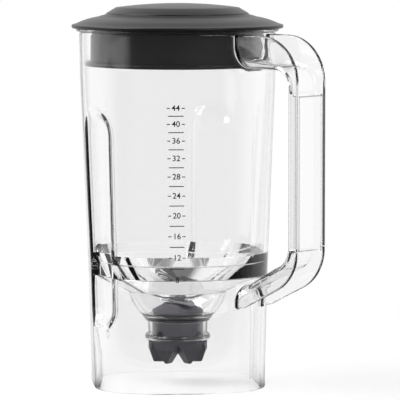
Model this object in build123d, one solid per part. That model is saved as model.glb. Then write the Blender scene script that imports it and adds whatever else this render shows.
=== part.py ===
"""Blender jar: a clear fluted container with its handle, lid, filler cap and cutter assembly.

Millimetres, +Z up. The origin is the centre of the skirt's bottom rim, and the handle points along +X.
"""

from build123d import *
import os
from math import atan2, cos, degrees, radians, sin, sqrt, tan

# Container walls and levels
WALL = 3.0
FLOOR_THICKNESS = 3.5
FUNNEL_TOP_Z = 79.0
SHOULDER_Z = 205.0
MOUTH_Z = 238.0

# Half widths across the flats of the rounded square, and half of each flat, from the foot to the mouth
FOOT_HALF, FOOT_FLAT = 56.5, 16.5
WAIST_HALF, WAIST_FLAT = 58.8, 12.8
SHOULDER_HALF, SHOULDER_FLAT = 64.8, 2.8
MOUTH_HALF, MOUTH_FLAT = 65.4, 0.8
FLAT_ANGLE = 45.0

# Rim bead round the mouth
RIM_OVERHANG = 2.1
RIM_HEIGHT = 2.0
RIM_ROUND = 0.8

# Funnel, bowl and the collar under the floor
FUNNEL_ROUND = 8.0
FUNNEL_OVERLAP = 3.0
FUNNEL_FLAT = 0.05
BOWL_RIM_R = 30.3
BOWL_RIM_Z = 65.0
BOWL_FLOOR_R = 20.0
BOWL_FLOOR_Z = 46.5
BOWL_BULGE = 1.9
FLOOR_HOLE_CLEARANCE = 0.3
COLLAR_R = 20.3
COLLAR_WALL = 2.5
COLLAR_BOTTOM_Z = 34.0
COLLAR_LIP = 0.8
COLLAR_LIP_HEIGHT = 1.4

# Flutes pressed into the wall from outside
FLUTE_ANGLE = 108.0
FLUTE_FLOOR_HALF = 10.0
FLUTE_SIDE_ANGLE = 45.0
FLUTE_TOP_FLOOR_R = 58.2
FLUTE_BOTTOM_FLOOR_R = 54.6
FLUTE_SPRING_Z = 168.0
FLUTE_BOTTOM_Z = 49.0
FLUTE_BOTTOM_ROUND = 6.0
FLUTE_CUT_DEPTH = 16.0

# Handle: one moulding with the container, a channel open outwards in its two arms
HANDLE_REACH = 47.6
HANDLE_TOP_DROP = 3.0
HANDLE_ARM_DEPTH = 22.0
HANDLE_HEEL_DROP = 0.8
HANDLE_LOWER_ARM_DEPTH = 15.6
HANDLE_LOWER_SLOPE = 26.0
HANDLE_GRIP_THICKNESS = 8.6
HANDLE_HALF_WIDTH = 15.5
HANDLE_ROOT_HALF_WIDTH = 19.5
HANDLE_FLARE_REACH = 26.6
HANDLE_TOP_BEND = 30.0
HANDLE_HEEL_BEND = 30.0
HANDLE_FINGER_TOP_BEND = 11.0
HANDLE_FINGER_LOW_BEND = 14.0
HANDLE_FINGER_ROUND = 3.6
UPPER_ROOT_ROUND = 18.5
LOWER_ROOT_ROUND = 14.0
CHANNEL_WALL = 3.0
CHANNEL_ROUND = 2.0
UPPER_CHANNEL_LENGTH = 18.0
LOWER_CHANNEL_LENGTH = 8.0

# Lid and filler cap
LID_OVERHANG = 2.7
LID_EDGE_HEIGHT = 1.8
LID_EDGE_ROUND = 0.8
LID_PLATEAU_HEIGHT = 7.6
LID_CROWN = 0.9
LID_TOP_THICKNESS = 3.0
LID_SKIRT_GAP = 4.2
LID_SKIRT_WALL = 2.2
LID_SKIRT_DEPTH = 25.0
LID_LIP_GAP = 0.4
LID_LIP_THICKNESS = 1.2
LID_LIP_DROOP = 0.8
CAP_R = 50.0
CAP_FIT = 0.35
CAP_SEAT_DEPTH = 2.0
CAP_PLUG_R = 43.9
CAP_PLUG_DEPTH = 11.0
CAP_SHOULDER_R = 49.2
CAP_SHOULDER_HEIGHT = 4.6
CAP_DOME_HEIGHT = 4.0
CAP_WALL = 2.2
CAP_SHOULDER_ROUND = 3.4
LID_SLEEVE_WALL = 2.2
LID_SLEEVE_DEPTH = 9.0

# Cutter housing, its gasket, washer and nut
GASKET_THICKNESS = 1.5
GASKET_INSET = 0.3
HOUSING_FLANGE_R = 17.0
HOUSING_EDGE_HEIGHT = 1.4
HOUSING_TOP_R = 9.6
HOUSING_TOP_EASE = 1.0
HOUSING_SHAFT_GAP = 1.0
HOUSING_HEIGHT = 6.0
HOUSING_BARREL_R = 12.4
HOUSING_BARREL_BOTTOM_Z = 33.0
NUT_R = 17.2
NUT_BOTTOM_Z = 33.4
NUT_SLOTS = 4
NUT_SLOT_WIDTH = 5.0
NUT_SLOT_DEPTH = 3.0
NUT_SLOT_WALL = 2.0
RETAINING_WASHER_THICKNESS = 1.2

# Ball bearings
BEARING_R = 11.0
BEARING_WIDTH = 7.0
BEARING_BORE_R = 4.0
RACE_THICKNESS = 2.1
BALL_R = 1.98
BALL_COUNT = 7
BALL_CLEARANCE = 0.04
CIRCLIP_THICKNESS = 1.0
CIRCLIP_WIDTH = 1.6
CIRCLIP_GROOVE = 0.5
CIRCLIP_GAP = 5.0

# Shaft, seal and washers
RUNNING_CLEARANCE = 0.04
SEAL_R = 7.6
SEAL_HEIGHT = 3.8
SEAL_CAVITY = 1.0
SHAFT_THREAD_R = 3.0
HUB_GAP = 0.3
THRUST_WASHER_R = 6.6
THRUST_WASHER_THICKNESS = 1.0
SLINGER_R = 15.5
SLINGER_THICKNESS = 0.9
SLINGER_HUB_R = 5.8

# Blades
BLADE_THICKNESS = 1.6
BLADE_HUB_R = 6.8
BLADE_ROOT_HALF = 5.6
BLADE_TIP_HALF = 2.2
UPPER_BLADE_R = 23.5
UPPER_BLADE_RISE = 27.0
UPPER_BLADE_BEND_X = 9.5
UPPER_BLADE_ANGLE = 40.0
LOWER_BLADE_R = 20.5
LOWER_BLADE_RISE = -5.0
LOWER_BLADE_BEND_X = 8.5
LOWER_BLADE_ANGLE = -20.0
BLADE_SPACER_R = 6.0
BLADE_SPACER_THICKNESS = 1.8
LOCK_WASHER_R = 5.6
LOCK_WASHER_THICKNESS = 0.9
BLADE_NUT_FLATS = 10.0
BLADE_NUT_HEIGHT = 6.2
BLADE_NUT_DOME = 1.4
SHAFT_END_INSET = 1.6

# Drive coupling
COUPLING_R = 19.2
COUPLING_BAND_HEIGHT = 5.6
COUPLING_HEIGHT = 16.4
COUPLING_TIP_R = 15.0
COUPLING_RING_WALL = 5.0
COUPLING_RECESS_DEPTH = 8.6
COUPLING_BOSS_R = 7.6
COUPLING_BOSS_INSET = 2.6
COUPLING_TEETH = 6
COUPLING_GULLET_DEPTH = 6.8
COUPLING_GULLET_HALF_WIDTH = 5.0
COUPLING_GULLET_ROUND = 0.9
COUPLING_FIRST_GULLET = 10.0
INSERT_FLATS = 11.0
INSERT_BOTTOM_INSET = 4.0

# How far a cutting shape runs past the face it cuts, and how near an edge lies to the level it is picked by
CUT_MARGIN = 1.0
PICK = 0.2

# Places of the handle and the lid, which follow the wall and the mouth
HANDLE_OUTER_X = MOUTH_HALF + HANDLE_REACH
HANDLE_ROOT_X = WAIST_HALF - WALL
HANDLE_FLARE_END_X = MOUTH_HALF + HANDLE_FLARE_REACH
LOWER_ROOT_X = HANDLE_ROOT_X - WALL
HANDLE_TOP_Z = MOUTH_Z - HANDLE_TOP_DROP
HANDLE_ARM_UNDERSIDE_Z = HANDLE_TOP_Z - HANDLE_ARM_DEPTH
HANDLE_FINGER_X = HANDLE_OUTER_X - HANDLE_GRIP_THICKNESS
HANDLE_HEEL_Z = FUNNEL_TOP_Z - HANDLE_HEEL_DROP
HANDLE_FALL = tan(radians(HANDLE_LOWER_SLOPE))
HANDLE_FINGER_LOW_Z = HANDLE_HEEL_Z - HANDLE_GRIP_THICKNESS * HANDLE_FALL + HANDLE_LOWER_ARM_DEPTH
UPPER_CHANNEL_END_Z = HANDLE_ARM_UNDERSIDE_Z - UPPER_CHANNEL_LENGTH
LOWER_CHANNEL_END_Z = HANDLE_FINGER_LOW_Z + LOWER_CHANNEL_LENGTH
LOWER_ARM_THICKNESS = HANDLE_LOWER_ARM_DEPTH * cos(radians(HANDLE_LOWER_SLOPE))
HEEL_BEND_LENGTH = HANDLE_HEEL_BEND * tan(radians(90 - HANDLE_LOWER_SLOPE) / 2)
LOWER_FLARE_END_X = HANDLE_OUTER_X - (HEEL_BEND_LENGTH + LOWER_ARM_THICKNESS * HANDLE_FALL) * cos(
    radians(HANDLE_LOWER_SLOPE)
)
LID_FLANGE_R = MOUTH_HALF + RIM_OVERHANG + LID_OVERHANG
LID_SKIRT_R = MOUTH_HALF - WALL - LID_SKIRT_GAP
LID_PLATEAU_Z = MOUTH_Z + LID_PLATEAU_HEIGHT
LID_SKIRT_BOTTOM_Z = MOUTH_Z - LID_SKIRT_DEPTH

# Levels that follow from the sizes above, up the cutter's stack
FLOOR_UNDER_Z = BOWL_FLOOR_Z - FLOOR_THICKNESS
FLANGE_Z = BOWL_FLOOR_Z + GASKET_THICKNESS
HOUSING_TOP_Z = FLANGE_Z + HOUSING_HEIGHT
SHAFT_SHOULDER_Z = HOUSING_TOP_Z + HUB_GAP
LOWER_BLADE_Z = SHAFT_SHOULDER_Z + THRUST_WASHER_THICKNESS
SPACER_Z = LOWER_BLADE_Z + BLADE_THICKNESS
UPPER_BLADE_Z = SPACER_Z + BLADE_SPACER_THICKNESS
LOCK_WASHER_Z = UPPER_BLADE_Z + BLADE_THICKNESS
BLADE_NUT_Z = LOCK_WASHER_Z + LOCK_WASHER_THICKNESS
BLADE_NUT_TOP_Z = BLADE_NUT_Z + BLADE_NUT_HEIGHT
SLINGER_TOP_Z = HOUSING_BARREL_BOTTOM_Z - HUB_GAP
COUPLING_TOP_Z = SLINGER_TOP_Z - SLINGER_THICKNESS
COUPLING_BOTTOM_Z = COUPLING_TOP_Z - COUPLING_HEIGHT
CIRCLIP_Z = HOUSING_BARREL_BOTTOM_Z + CIRCLIP_GROOVE
LOWER_BEARING_Z = CIRCLIP_Z + CIRCLIP_THICKNESS
UPPER_BEARING_Z = LOWER_BEARING_Z + BEARING_WIDTH
BEARING_STOP_Z = UPPER_BEARING_Z + BEARING_WIDTH
SEAL_Z = BEARING_STOP_Z
BALL_PITCH_R = (BEARING_R + BEARING_BORE_R) / 2

BODY_LEVELS = [
    (0.0, FOOT_HALF, FOOT_FLAT),
    (FUNNEL_TOP_Z, WAIST_HALF, WAIST_FLAT),
    (SHOULDER_Z, SHOULDER_HALF, SHOULDER_FLAT),
    (MOUTH_Z, MOUTH_HALF, MOUTH_FLAT),
]


def half_at(z):
    """The body's half width across the flats at a height."""
    below, above = [
        (low, high) for low, high in zip(BODY_LEVELS, BODY_LEVELS[1:]) if low[0] <= z <= high[0]
    ][0]
    return below[1] + (above[1] - below[1]) * (z - below[0]) / (above[0] - below[0])


def level(z, half, flat, inset=0.0):
    """One level of the rounded square, with a corner towards the handle."""
    across = 2 * (half - inset)
    return Pos(0, 0, z) * Rot(0, 0, FLAT_ANGLE) * RectangleRounded(across, across, half - flat - inset)


def turned(points):
    """A solid of revolution about Z from (radius, height) points."""
    return revolve(make_face(Plane.XZ * Polyline(*points, close=True)), Axis.Z)


def ring(outer, inner, low, high):
    """A plain ring about Z."""
    return turned([(inner, low), (outer, low), (outer, high), (inner, high)])


def disc(radius, low, high):
    """A plain round bar about Z."""
    return Pos(0, 0, low) * Cylinder(radius, high - low, align=(Align.CENTER, Align.CENTER, Align.MIN))


def flute_outline(spread):
    """A flute seen from outside: square shoulders with round corners below, a round arch above."""
    half = FLUTE_FLOOR_HALF + spread
    low, high = -spread, FLUTE_SPRING_Z - FLUTE_BOTTOM_Z
    bend = FLUTE_BOTTOM_ROUND + spread
    rise = half * cos(radians(FLAT_ANGLE))
    outline = Curve() + [
        Line((bend - half, low), (half - bend, low)),
        RadiusArc((half - bend, low), (half, low + bend), -bend),
        Line((half, low + bend), (half, high)),
        ThreePointArc((half, high), (rise, high + rise), (0, high + half)),
        ThreePointArc((0, high + half), (-rise, high + rise), (-half, high)),
        Line((-half, high), (-half, low + bend)),
        RadiusArc((-half, low + bend), (bend - half, low), -bend),
    ]
    return make_face(outline)


def flute_tool(side, grow):
    """The groove that presses the wall in, open outwards. Grown by the wall, it is the bulge inside."""
    lean = degrees(atan2(FLUTE_TOP_FLOOR_R - FLUTE_BOTTOM_FLOOR_R, FLUTE_SPRING_Z - FLUTE_BOTTOM_Z))
    angle = radians(side * FLUTE_ANGLE)
    outward = Vector(cos(angle), sin(angle), 0)
    along = Vector(-sin(angle), cos(angle), 0)
    foot = outward * (FLUTE_BOTTOM_FLOOR_R - grow) + Vector(0, 0, FLUTE_BOTTOM_Z)
    normal = outward.rotate(Axis((0, 0, 0), along), lean)
    plane = Plane(origin=foot, x_dir=along, z_dir=normal)
    spread = grow * tan(radians(FLUTE_SIDE_ANGLE / 2))
    depth = FLUTE_CUT_DEPTH + grow
    floor = plane * flute_outline(spread)
    mouth = plane * Pos(0, 0, depth) * flute_outline(spread + depth * tan(radians(FLUTE_SIDE_ANGLE)))
    return loft([floor, mouth], ruled=True)


def bowl_form(grow, drop):
    """The round bowl below the funnel, grown outwards and dropped by the floor's thickness."""
    low = (BOWL_FLOOR_R + grow, BOWL_FLOOR_Z - drop)
    high = (BOWL_RIM_R + grow, BOWL_RIM_Z - drop)
    middle = ((low[0] + high[0]) / 2 + BOWL_BULGE, (low[1] + high[1]) / 2 - BOWL_BULGE)
    overlap_z = high[1] + FUNNEL_OVERLAP
    outline = Curve() + [
        Line((0, low[1]), low),
        ThreePointArc(low, middle, high),
        Polyline(high, (high[0], overlap_z), (0, overlap_z), (0, low[1])),
    ]
    return revolve(make_face(Plane.XZ * outline), Axis.Z)


def funnel_form(top_half, top_flat, grow, drop):
    """The four-sided funnel from the wall down past the bowl's round rim, so that the two cross there."""
    rim = BOWL_RIM_R + grow
    slope = (top_half - rim) / (FUNNEL_TOP_Z - BOWL_RIM_Z)
    end = rim - FUNNEL_OVERLAP * slope
    top = level(FUNNEL_TOP_Z - drop, top_half, top_flat)
    low = level(BOWL_RIM_Z - drop - FUNNEL_OVERLAP, end, FUNNEL_FLAT)
    return loft([low, top], ruled=True)


def chamber():
    """The space inside the jar: mouth, walls, funnel and bowl."""
    upper = loft([level(z, half, flat, WALL) for z, half, flat in BODY_LEVELS[1:]], ruled=True)
    space = upper + funnel_form(WAIST_HALF - WALL, WAIST_FLAT, 0, 0)
    seam = [e for e in space.edges() if abs(e.center().Z - FUNNEL_TOP_Z) < PICK and e.length > PICK]
    space = fillet(seam, FUNNEL_ROUND)
    space += extrude(level(MOUTH_Z, MOUTH_HALF, MOUTH_FLAT, WALL), RIM_HEIGHT)
    space += bowl_form(0, 0)
    for side in (1, -1):
        space -= flute_tool(side, WALL)
    return space


def skirt_space():
    """The open space under the funnel, round the collar."""
    space = loft([level(z, half, flat, WALL) for z, half, flat in BODY_LEVELS[:2]], ruled=True)
    under = funnel_form(WAIST_HALF, WAIST_FLAT, WALL, FLOOR_THICKNESS)
    roof = disc(2 * WAIST_HALF, FUNNEL_TOP_Z - FLOOR_THICKNESS, FUNNEL_TOP_Z + FLOOR_THICKNESS)
    space = space - under - roof - bowl_form(WALL, FLOOR_THICKNESS)
    for side in (1, -1):
        space -= flute_tool(side, WALL)
    return space


def finger_z(x):
    """The height of the lower arm's finger side at a reach."""
    return HANDLE_FINGER_LOW_Z - (HANDLE_FINGER_X - x) * HANDLE_FALL


def handle_side(points, bends, half_width):
    """The handle seen from the side, with its corners bent round."""
    outline = make_face(Plane.XZ * Polyline(*points, close=True))
    for corner, bend in bends:
        spot = Vector(corner[0], 0, corner[1])
        outline = fillet(outline.vertices().sort_by_distance(spot)[0], bend)
    return extrude(outline, half_width, both=True)


def round_finger_side(bar, half_width, inset, bend):
    """Rounds the long edges on the side that the fingers close round."""
    drop = inset / cos(radians(HANDLE_LOWER_SLOPE))
    edges = [
        e
        for e in bar.edges()
        if abs(abs(e.center().Y) - half_width) < PICK
        and LOWER_ROOT_X + PICK < e.center().X < HANDLE_FINGER_X + inset + PICK
        and finger_z(e.center().X) - drop - PICK < e.center().Z < HANDLE_ARM_UNDERSIDE_Z + inset + PICK
    ]
    return fillet(edges, bend)


def handle_bar(half_width):
    """The handle's outer form at one width, all along."""
    top, heel = (HANDLE_OUTER_X, HANDLE_TOP_Z), (HANDLE_OUTER_X, HANDLE_HEEL_Z)
    finger_top = (HANDLE_FINGER_X, HANDLE_ARM_UNDERSIDE_Z)
    finger_low = (HANDLE_FINGER_X, HANDLE_FINGER_LOW_Z)
    outline = [
        (LOWER_ROOT_X, HANDLE_TOP_Z),
        top,
        heel,
        (LOWER_ROOT_X, finger_z(LOWER_ROOT_X) - HANDLE_LOWER_ARM_DEPTH),
        (LOWER_ROOT_X, finger_z(LOWER_ROOT_X)),
        finger_low,
        finger_top,
        (LOWER_ROOT_X, HANDLE_ARM_UNDERSIDE_Z),
    ]
    bends = [
        (top, HANDLE_TOP_BEND),
        (heel, HANDLE_HEEL_BEND),
        (finger_top, HANDLE_FINGER_TOP_BEND),
        (finger_low, HANDLE_FINGER_LOW_BEND),
    ]
    return handle_side(outline, bends, half_width)


def channel_bar():
    """The handle's inner form, all along and open outwards."""
    web_x = HANDLE_FINGER_X + CHANNEL_WALL
    web_z = HANDLE_ARM_UNDERSIDE_Z + CHANNEL_WALL
    drop = CHANNEL_WALL / cos(radians(HANDLE_LOWER_SLOPE))
    low_web_z = HANDLE_FINGER_LOW_Z + CHANNEL_WALL * HANDLE_FALL - drop
    reach = 2 * HANDLE_OUTER_X
    outline = [
        (LOWER_ROOT_X, web_z),
        (web_x, web_z),
        (web_x, low_web_z),
        (LOWER_ROOT_X, finger_z(LOWER_ROOT_X) - drop),
        (LOWER_ROOT_X, 0),
        (reach, 0),
        (reach, 2 * MOUTH_Z),
        (LOWER_ROOT_X, 2 * MOUTH_Z),
    ]
    bends = [
        ((web_x, web_z), HANDLE_FINGER_TOP_BEND + CHANNEL_WALL),
        ((web_x, low_web_z), HANDLE_FINGER_LOW_BEND + CHANNEL_WALL),
    ]
    return handle_side(outline, bends, HANDLE_HALF_WIDTH - CHANNEL_WALL)


def arm_plane(x, upper):
    """The plane across an arm where its finger side reaches a distance from the axis."""
    if upper:
        return Plane(origin=(x, 0, HANDLE_ARM_UNDERSIDE_Z), x_dir=(0, 1, 0), z_dir=(1, 0, 0))
    slope = radians(HANDLE_LOWER_SLOPE)
    return Plane(origin=(x, 0, finger_z(x)), x_dir=(0, 1, 0), z_dir=(cos(slope), 0, sin(slope)))


def arm_cut(plane, half, bend, finger, outer):
    """An arm cut across: square on its open side, with round corners on the finger side."""
    side = 1 if finger > outer else -1
    turn = finger - side * bend
    rise = bend * (1 - 1 / sqrt(2))
    outline = Curve() + [
        Line((-half, outer), (-half, turn)),
        ThreePointArc((-half, turn), (rise - half, finger - side * rise), (bend - half, finger)),
        Line((bend - half, finger), (half - bend, finger)),
        ThreePointArc((half - bend, finger), (half - rise, finger - side * rise), (half, turn)),
        Line((half, turn), (half, outer)),
        Line((half, outer), (-half, outer)),
    ]
    return plane * make_face(outline)


def upper_arm(inset, bend, rise):
    """The upper arm, flared to a wide arch at the wall. Its hollow is inset, and rises past its open side."""
    finger, outer = inset, HANDLE_ARM_DEPTH + rise
    grip_half, root_half = HANDLE_HALF_WIDTH - inset, HANDLE_ROOT_HALF_WIDTH - inset
    at_grip = arm_cut(arm_plane(HANDLE_FLARE_END_X, True), grip_half, bend, finger, outer)
    at_root = arm_cut(arm_plane(HANDLE_ROOT_X, True), root_half, UPPER_ROOT_ROUND - inset, finger, outer)
    return loft([at_root, at_grip], ruled=True)


def lower_arm(inset, bend, rise):
    """The lower arm, whose finger side becomes an arch at the wall."""
    finger, outer = -inset, -LOWER_ARM_THICKNESS - rise
    half = HANDLE_HALF_WIDTH - inset
    at_grip = arm_cut(arm_plane(LOWER_FLARE_END_X, False), half, bend, finger, outer)
    at_root = arm_cut(arm_plane(LOWER_ROOT_X, False), half, LOWER_ROOT_ROUND - inset, finger, outer)
    return loft([at_root, at_grip], ruled=True)


def handle():
    """The handle's outer form less the channels in its two arms, with the solid grip between them."""
    reach = 2 * HANDLE_OUTER_X
    block = Box(reach, 4 * HANDLE_ARM_DEPTH, reach, align=(Align.CENTER, Align.CENTER, Align.MAX))
    arms = arm_plane(HANDLE_FLARE_END_X, True) * block + arm_plane(LOWER_FLARE_END_X, False) * block
    bar = round_finger_side(handle_bar(HANDLE_HALF_WIDTH), HANDLE_HALF_WIDTH, 0, HANDLE_FINGER_ROUND) - arms
    bar += upper_arm(0, HANDLE_FINGER_ROUND, 0) & handle_bar(HANDLE_ROOT_HALF_WIDTH)
    bar += lower_arm(0, HANDLE_FINGER_ROUND, 0)
    hollow = round_finger_side(channel_bar(), HANDLE_HALF_WIDTH - CHANNEL_WALL, CHANNEL_WALL, CHANNEL_ROUND)
    hollow -= arms + disc(2 * reach, LOWER_CHANNEL_END_Z, UPPER_CHANNEL_END_Z)
    bar -= hollow
    bar -= upper_arm(CHANNEL_WALL, CHANNEL_ROUND, CHANNEL_WALL)
    return bar - lower_arm(CHANNEL_WALL, CHANNEL_ROUND, CHANNEL_WALL)


def container():
    """The clear moulding."""
    body = loft([level(*row) for row in BODY_LEVELS], ruled=True)
    for side in (1, -1):
        body -= flute_tool(side, 0)
    body += handle()
    body -= chamber()
    body -= skirt_space()
    rim = ring(MOUTH_HALF + RIM_OVERHANG, MOUTH_HALF - WALL / 2, MOUTH_Z - RIM_HEIGHT, MOUTH_Z)
    outer_edges = [e for e in rim.edges().filter_by(GeomType.CIRCLE) if e.radius > MOUTH_HALF]
    body += fillet(outer_edges, RIM_ROUND)
    collar = ring(COLLAR_R, COLLAR_R - COLLAR_WALL, COLLAR_BOTTOM_Z, FLOOR_UNDER_Z + FLOOR_THICKNESS / 2)
    lip_z = COLLAR_BOTTOM_Z + COLLAR_LIP_HEIGHT
    collar += ring(COLLAR_R + COLLAR_LIP, COLLAR_R - COLLAR_WALL, COLLAR_BOTTOM_Z, lip_z)
    body += collar
    body -= disc(HOUSING_BARREL_R + FLOOR_HOLE_CLEARANCE, COLLAR_BOTTOM_Z, BOWL_FLOOR_Z + CUT_MARGIN)
    return body


def lid():
    """The black lid: a sloping flange, a seat for the filler cap and a skirt with a thin sealing lip."""
    seat_r = CAP_R + CAP_FIT
    sleeve_r = CAP_PLUG_R + CAP_FIT
    seat_z = LID_PLATEAU_Z - CAP_SEAT_DEPTH
    skirt_in = LID_SKIRT_R - LID_SKIRT_WALL
    edge_z = MOUTH_Z + LID_EDGE_HEIGHT
    lip_r = half_at(LID_SKIRT_BOTTOM_Z) - WALL - LID_LIP_GAP
    lip_z = LID_SKIRT_BOTTOM_Z + LID_LIP_DROOP
    crown = ((LID_FLANGE_R + seat_r) / 2, (edge_z + LID_PLATEAU_Z) / 2 + LID_CROWN)
    outline = Curve() + [
        Line((LID_SKIRT_R, MOUTH_Z), (LID_FLANGE_R, MOUTH_Z)),
        Line((LID_FLANGE_R, MOUTH_Z), (LID_FLANGE_R, edge_z)),
        ThreePointArc((LID_FLANGE_R, edge_z), crown, (seat_r, LID_PLATEAU_Z)),
        Polyline(
            (seat_r, LID_PLATEAU_Z),
            (seat_r, seat_z),
            (sleeve_r, seat_z),
            (sleeve_r, seat_z - LID_SLEEVE_DEPTH),
            (sleeve_r + LID_SLEEVE_WALL, seat_z - LID_SLEEVE_DEPTH),
            (sleeve_r + LID_SLEEVE_WALL, seat_z - LID_TOP_THICKNESS),
            (skirt_in, seat_z - LID_TOP_THICKNESS),
            (skirt_in, LID_SKIRT_BOTTOM_Z),
            (LID_SKIRT_R, LID_SKIRT_BOTTOM_Z),
            (lip_r, lip_z),
            (lip_r, lip_z + LID_LIP_THICKNESS),
            (LID_SKIRT_R, LID_SKIRT_BOTTOM_Z + LID_LIP_THICKNESS),
            (LID_SKIRT_R, MOUTH_Z),
        ),
    ]
    cover = revolve(make_face(Plane.XZ * outline), Axis.Z)
    rim = [e for e in cover.edges().filter_by(GeomType.CIRCLE) if e.radius > LID_FLANGE_R - PICK]
    return fillet(rim, LID_EDGE_ROUND)


def filler_cap():
    """The domed cap that closes the hole in the lid."""
    seat_z = LID_PLATEAU_Z - CAP_SEAT_DEPTH
    shoulder_z = LID_PLATEAU_Z + CAP_SHOULDER_HEIGHT
    top_z = shoulder_z + CAP_DOME_HEIGHT
    sphere_r = (CAP_SHOULDER_R**2 + CAP_DOME_HEIGHT**2) / (2 * CAP_DOME_HEIGHT)
    plug_in = CAP_PLUG_R - CAP_WALL
    half_r = CAP_SHOULDER_R / 2
    half_z = top_z - sphere_r + sqrt(sphere_r**2 - half_r**2)
    inner_z = shoulder_z - CAP_WALL
    outline = Curve() + [
        Line((CAP_R, seat_z), (CAP_R, LID_PLATEAU_Z)),
        Line((CAP_R, LID_PLATEAU_Z), (CAP_SHOULDER_R, shoulder_z)),
        ThreePointArc((CAP_SHOULDER_R, shoulder_z), (half_r, half_z), (0, top_z)),
        Line((0, top_z), (0, top_z - CAP_WALL)),
        ThreePointArc((0, top_z - CAP_WALL), (half_r, half_z - CAP_WALL), (plug_in, inner_z)),
        Polyline(
            (plug_in, inner_z),
            (plug_in, seat_z - CAP_PLUG_DEPTH),
            (CAP_PLUG_R, seat_z - CAP_PLUG_DEPTH),
            (CAP_PLUG_R, seat_z),
            (CAP_R, seat_z),
        ),
    ]
    cap = revolve(make_face(Plane.XZ * outline), Axis.Z)
    shoulder = [e for e in cap.edges() if abs(e.center().Z - shoulder_z) < PICK and e.length > CAP_SHOULDER_R]
    return fillet(shoulder, CAP_SHOULDER_ROUND)


def bearing_housing():
    """The flanged dome on the floor, with the barrel that carries the bearings."""
    outline = [
        (HOUSING_BARREL_R, HOUSING_BARREL_BOTTOM_Z),
        (HOUSING_BARREL_R, FLANGE_Z),
        (HOUSING_FLANGE_R, FLANGE_Z),
        (HOUSING_FLANGE_R, FLANGE_Z + HOUSING_EDGE_HEIGHT),
        (HOUSING_TOP_R + HOUSING_TOP_EASE, HOUSING_TOP_Z - HOUSING_TOP_EASE),
        (HOUSING_TOP_R, HOUSING_TOP_Z),
        (BEARING_BORE_R + HOUSING_SHAFT_GAP, HOUSING_TOP_Z),
        (BEARING_BORE_R + HOUSING_SHAFT_GAP, SEAL_Z + SEAL_HEIGHT),
        (SEAL_R, SEAL_Z + SEAL_HEIGHT),
        (SEAL_R, BEARING_STOP_Z),
        (BEARING_R, BEARING_STOP_Z),
        (BEARING_R, HOUSING_BARREL_BOTTOM_Z),
    ]
    housing = turned(outline)
    groove_in = BEARING_R - CIRCLIP_GROOVE
    return housing - ring(BEARING_R + CIRCLIP_GROOVE, groove_in, CIRCLIP_Z, CIRCLIP_Z + CIRCLIP_THICKNESS)


def housing_gasket():
    """The rubber ring under the dome's flange."""
    return ring(HOUSING_FLANGE_R - GASKET_INSET, HOUSING_BARREL_R, BOWL_FLOOR_Z, FLANGE_Z)


def retaining_washer():
    """The washer between the nut and the floor's underside."""
    return ring(NUT_R, HOUSING_BARREL_R, FLOOR_UNDER_Z - RETAINING_WASHER_THICKNESS, FLOOR_UNDER_Z)


def retaining_nut():
    """The slotted round nut on the barrel, inside the collar."""
    nut = ring(NUT_R, HOUSING_BARREL_R, NUT_BOTTOM_Z, FLOOR_UNDER_Z - RETAINING_WASHER_THICKNESS)
    slot_half = NUT_R - HOUSING_BARREL_R - NUT_SLOT_WALL
    slot = Pos(NUT_R, 0, NUT_BOTTOM_Z) * Box(2 * slot_half, NUT_SLOT_WIDTH, 2 * NUT_SLOT_DEPTH)
    for i in range(NUT_SLOTS):
        nut -= Rot(0, 0, i * 360 / NUT_SLOTS) * slot
    return nut


def race_groove(low):
    """The round groove that the balls run in, about a bearing's middle."""
    middle = low + BEARING_WIDTH / 2
    profile = Plane.XZ * Pos(BALL_PITCH_R, middle) * Circle(BALL_R + BALL_CLEARANCE)
    return revolve(profile, Axis.Z)


def outer_race(low):
    """A bearing's outer race."""
    return ring(BEARING_R, BEARING_R - RACE_THICKNESS, low, low + BEARING_WIDTH) - race_groove(low)


def inner_race(low):
    """A bearing's inner race, tight on the shaft."""
    return ring(BEARING_BORE_R + RACE_THICKNESS, BEARING_BORE_R, low, low + BEARING_WIDTH) - race_groove(low)


def bearing_balls(low):
    """A bearing's balls, as a group of separate spheres."""
    middle = low + BEARING_WIDTH / 2
    return [
        Rot(0, 0, i * 360 / BALL_COUNT) * Pos(BALL_PITCH_R, 0, middle) * Sphere(BALL_R)
        for i in range(BALL_COUNT)
    ]


def bearing_circlip():
    """The spring ring under the lower bearing, with the gap for pliers."""
    top_z = CIRCLIP_Z + CIRCLIP_THICKNESS
    clip = ring(BEARING_R + CIRCLIP_GROOVE, BEARING_R - CIRCLIP_WIDTH, CIRCLIP_Z, top_z)
    return clip - Pos(BEARING_R, 0, CIRCLIP_Z) * Box(BEARING_R, CIRCLIP_GAP, 4 * CIRCLIP_THICKNESS)


def shaft_seal():
    """The lip seal in the dome, open below its lip."""
    run = BEARING_BORE_R + RUNNING_CLEARANCE
    return turned(
        [
            (SEAL_R, SEAL_Z),
            (SEAL_R, SEAL_Z + SEAL_HEIGHT),
            (run, SEAL_Z + SEAL_HEIGHT),
            (run, SEAL_Z + SEAL_HEIGHT - SEAL_CAVITY),
            (SEAL_R - SEAL_CAVITY, SEAL_Z + SEAL_HEIGHT - SEAL_CAVITY),
            (SEAL_R - SEAL_CAVITY, SEAL_Z),
        ]
    )


def drive_shaft():
    """The steel shaft, with a shoulder under the blades."""
    bottom = COUPLING_BOTTOM_Z + INSERT_BOTTOM_INSET
    return disc(BEARING_BORE_R, bottom, SHAFT_SHOULDER_Z) + disc(
        SHAFT_THREAD_R, SHAFT_SHOULDER_Z, BLADE_NUT_TOP_Z - SHAFT_END_INSET
    )


def lower_slinger():
    """The pale ring over the coupling that throws liquid clear of the bearing."""
    return ring(SLINGER_R, BEARING_BORE_R, COUPLING_TOP_Z, SLINGER_TOP_Z) + ring(
        SLINGER_HUB_R, BEARING_BORE_R, COUPLING_TOP_Z, LOWER_BEARING_Z
    )


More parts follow.
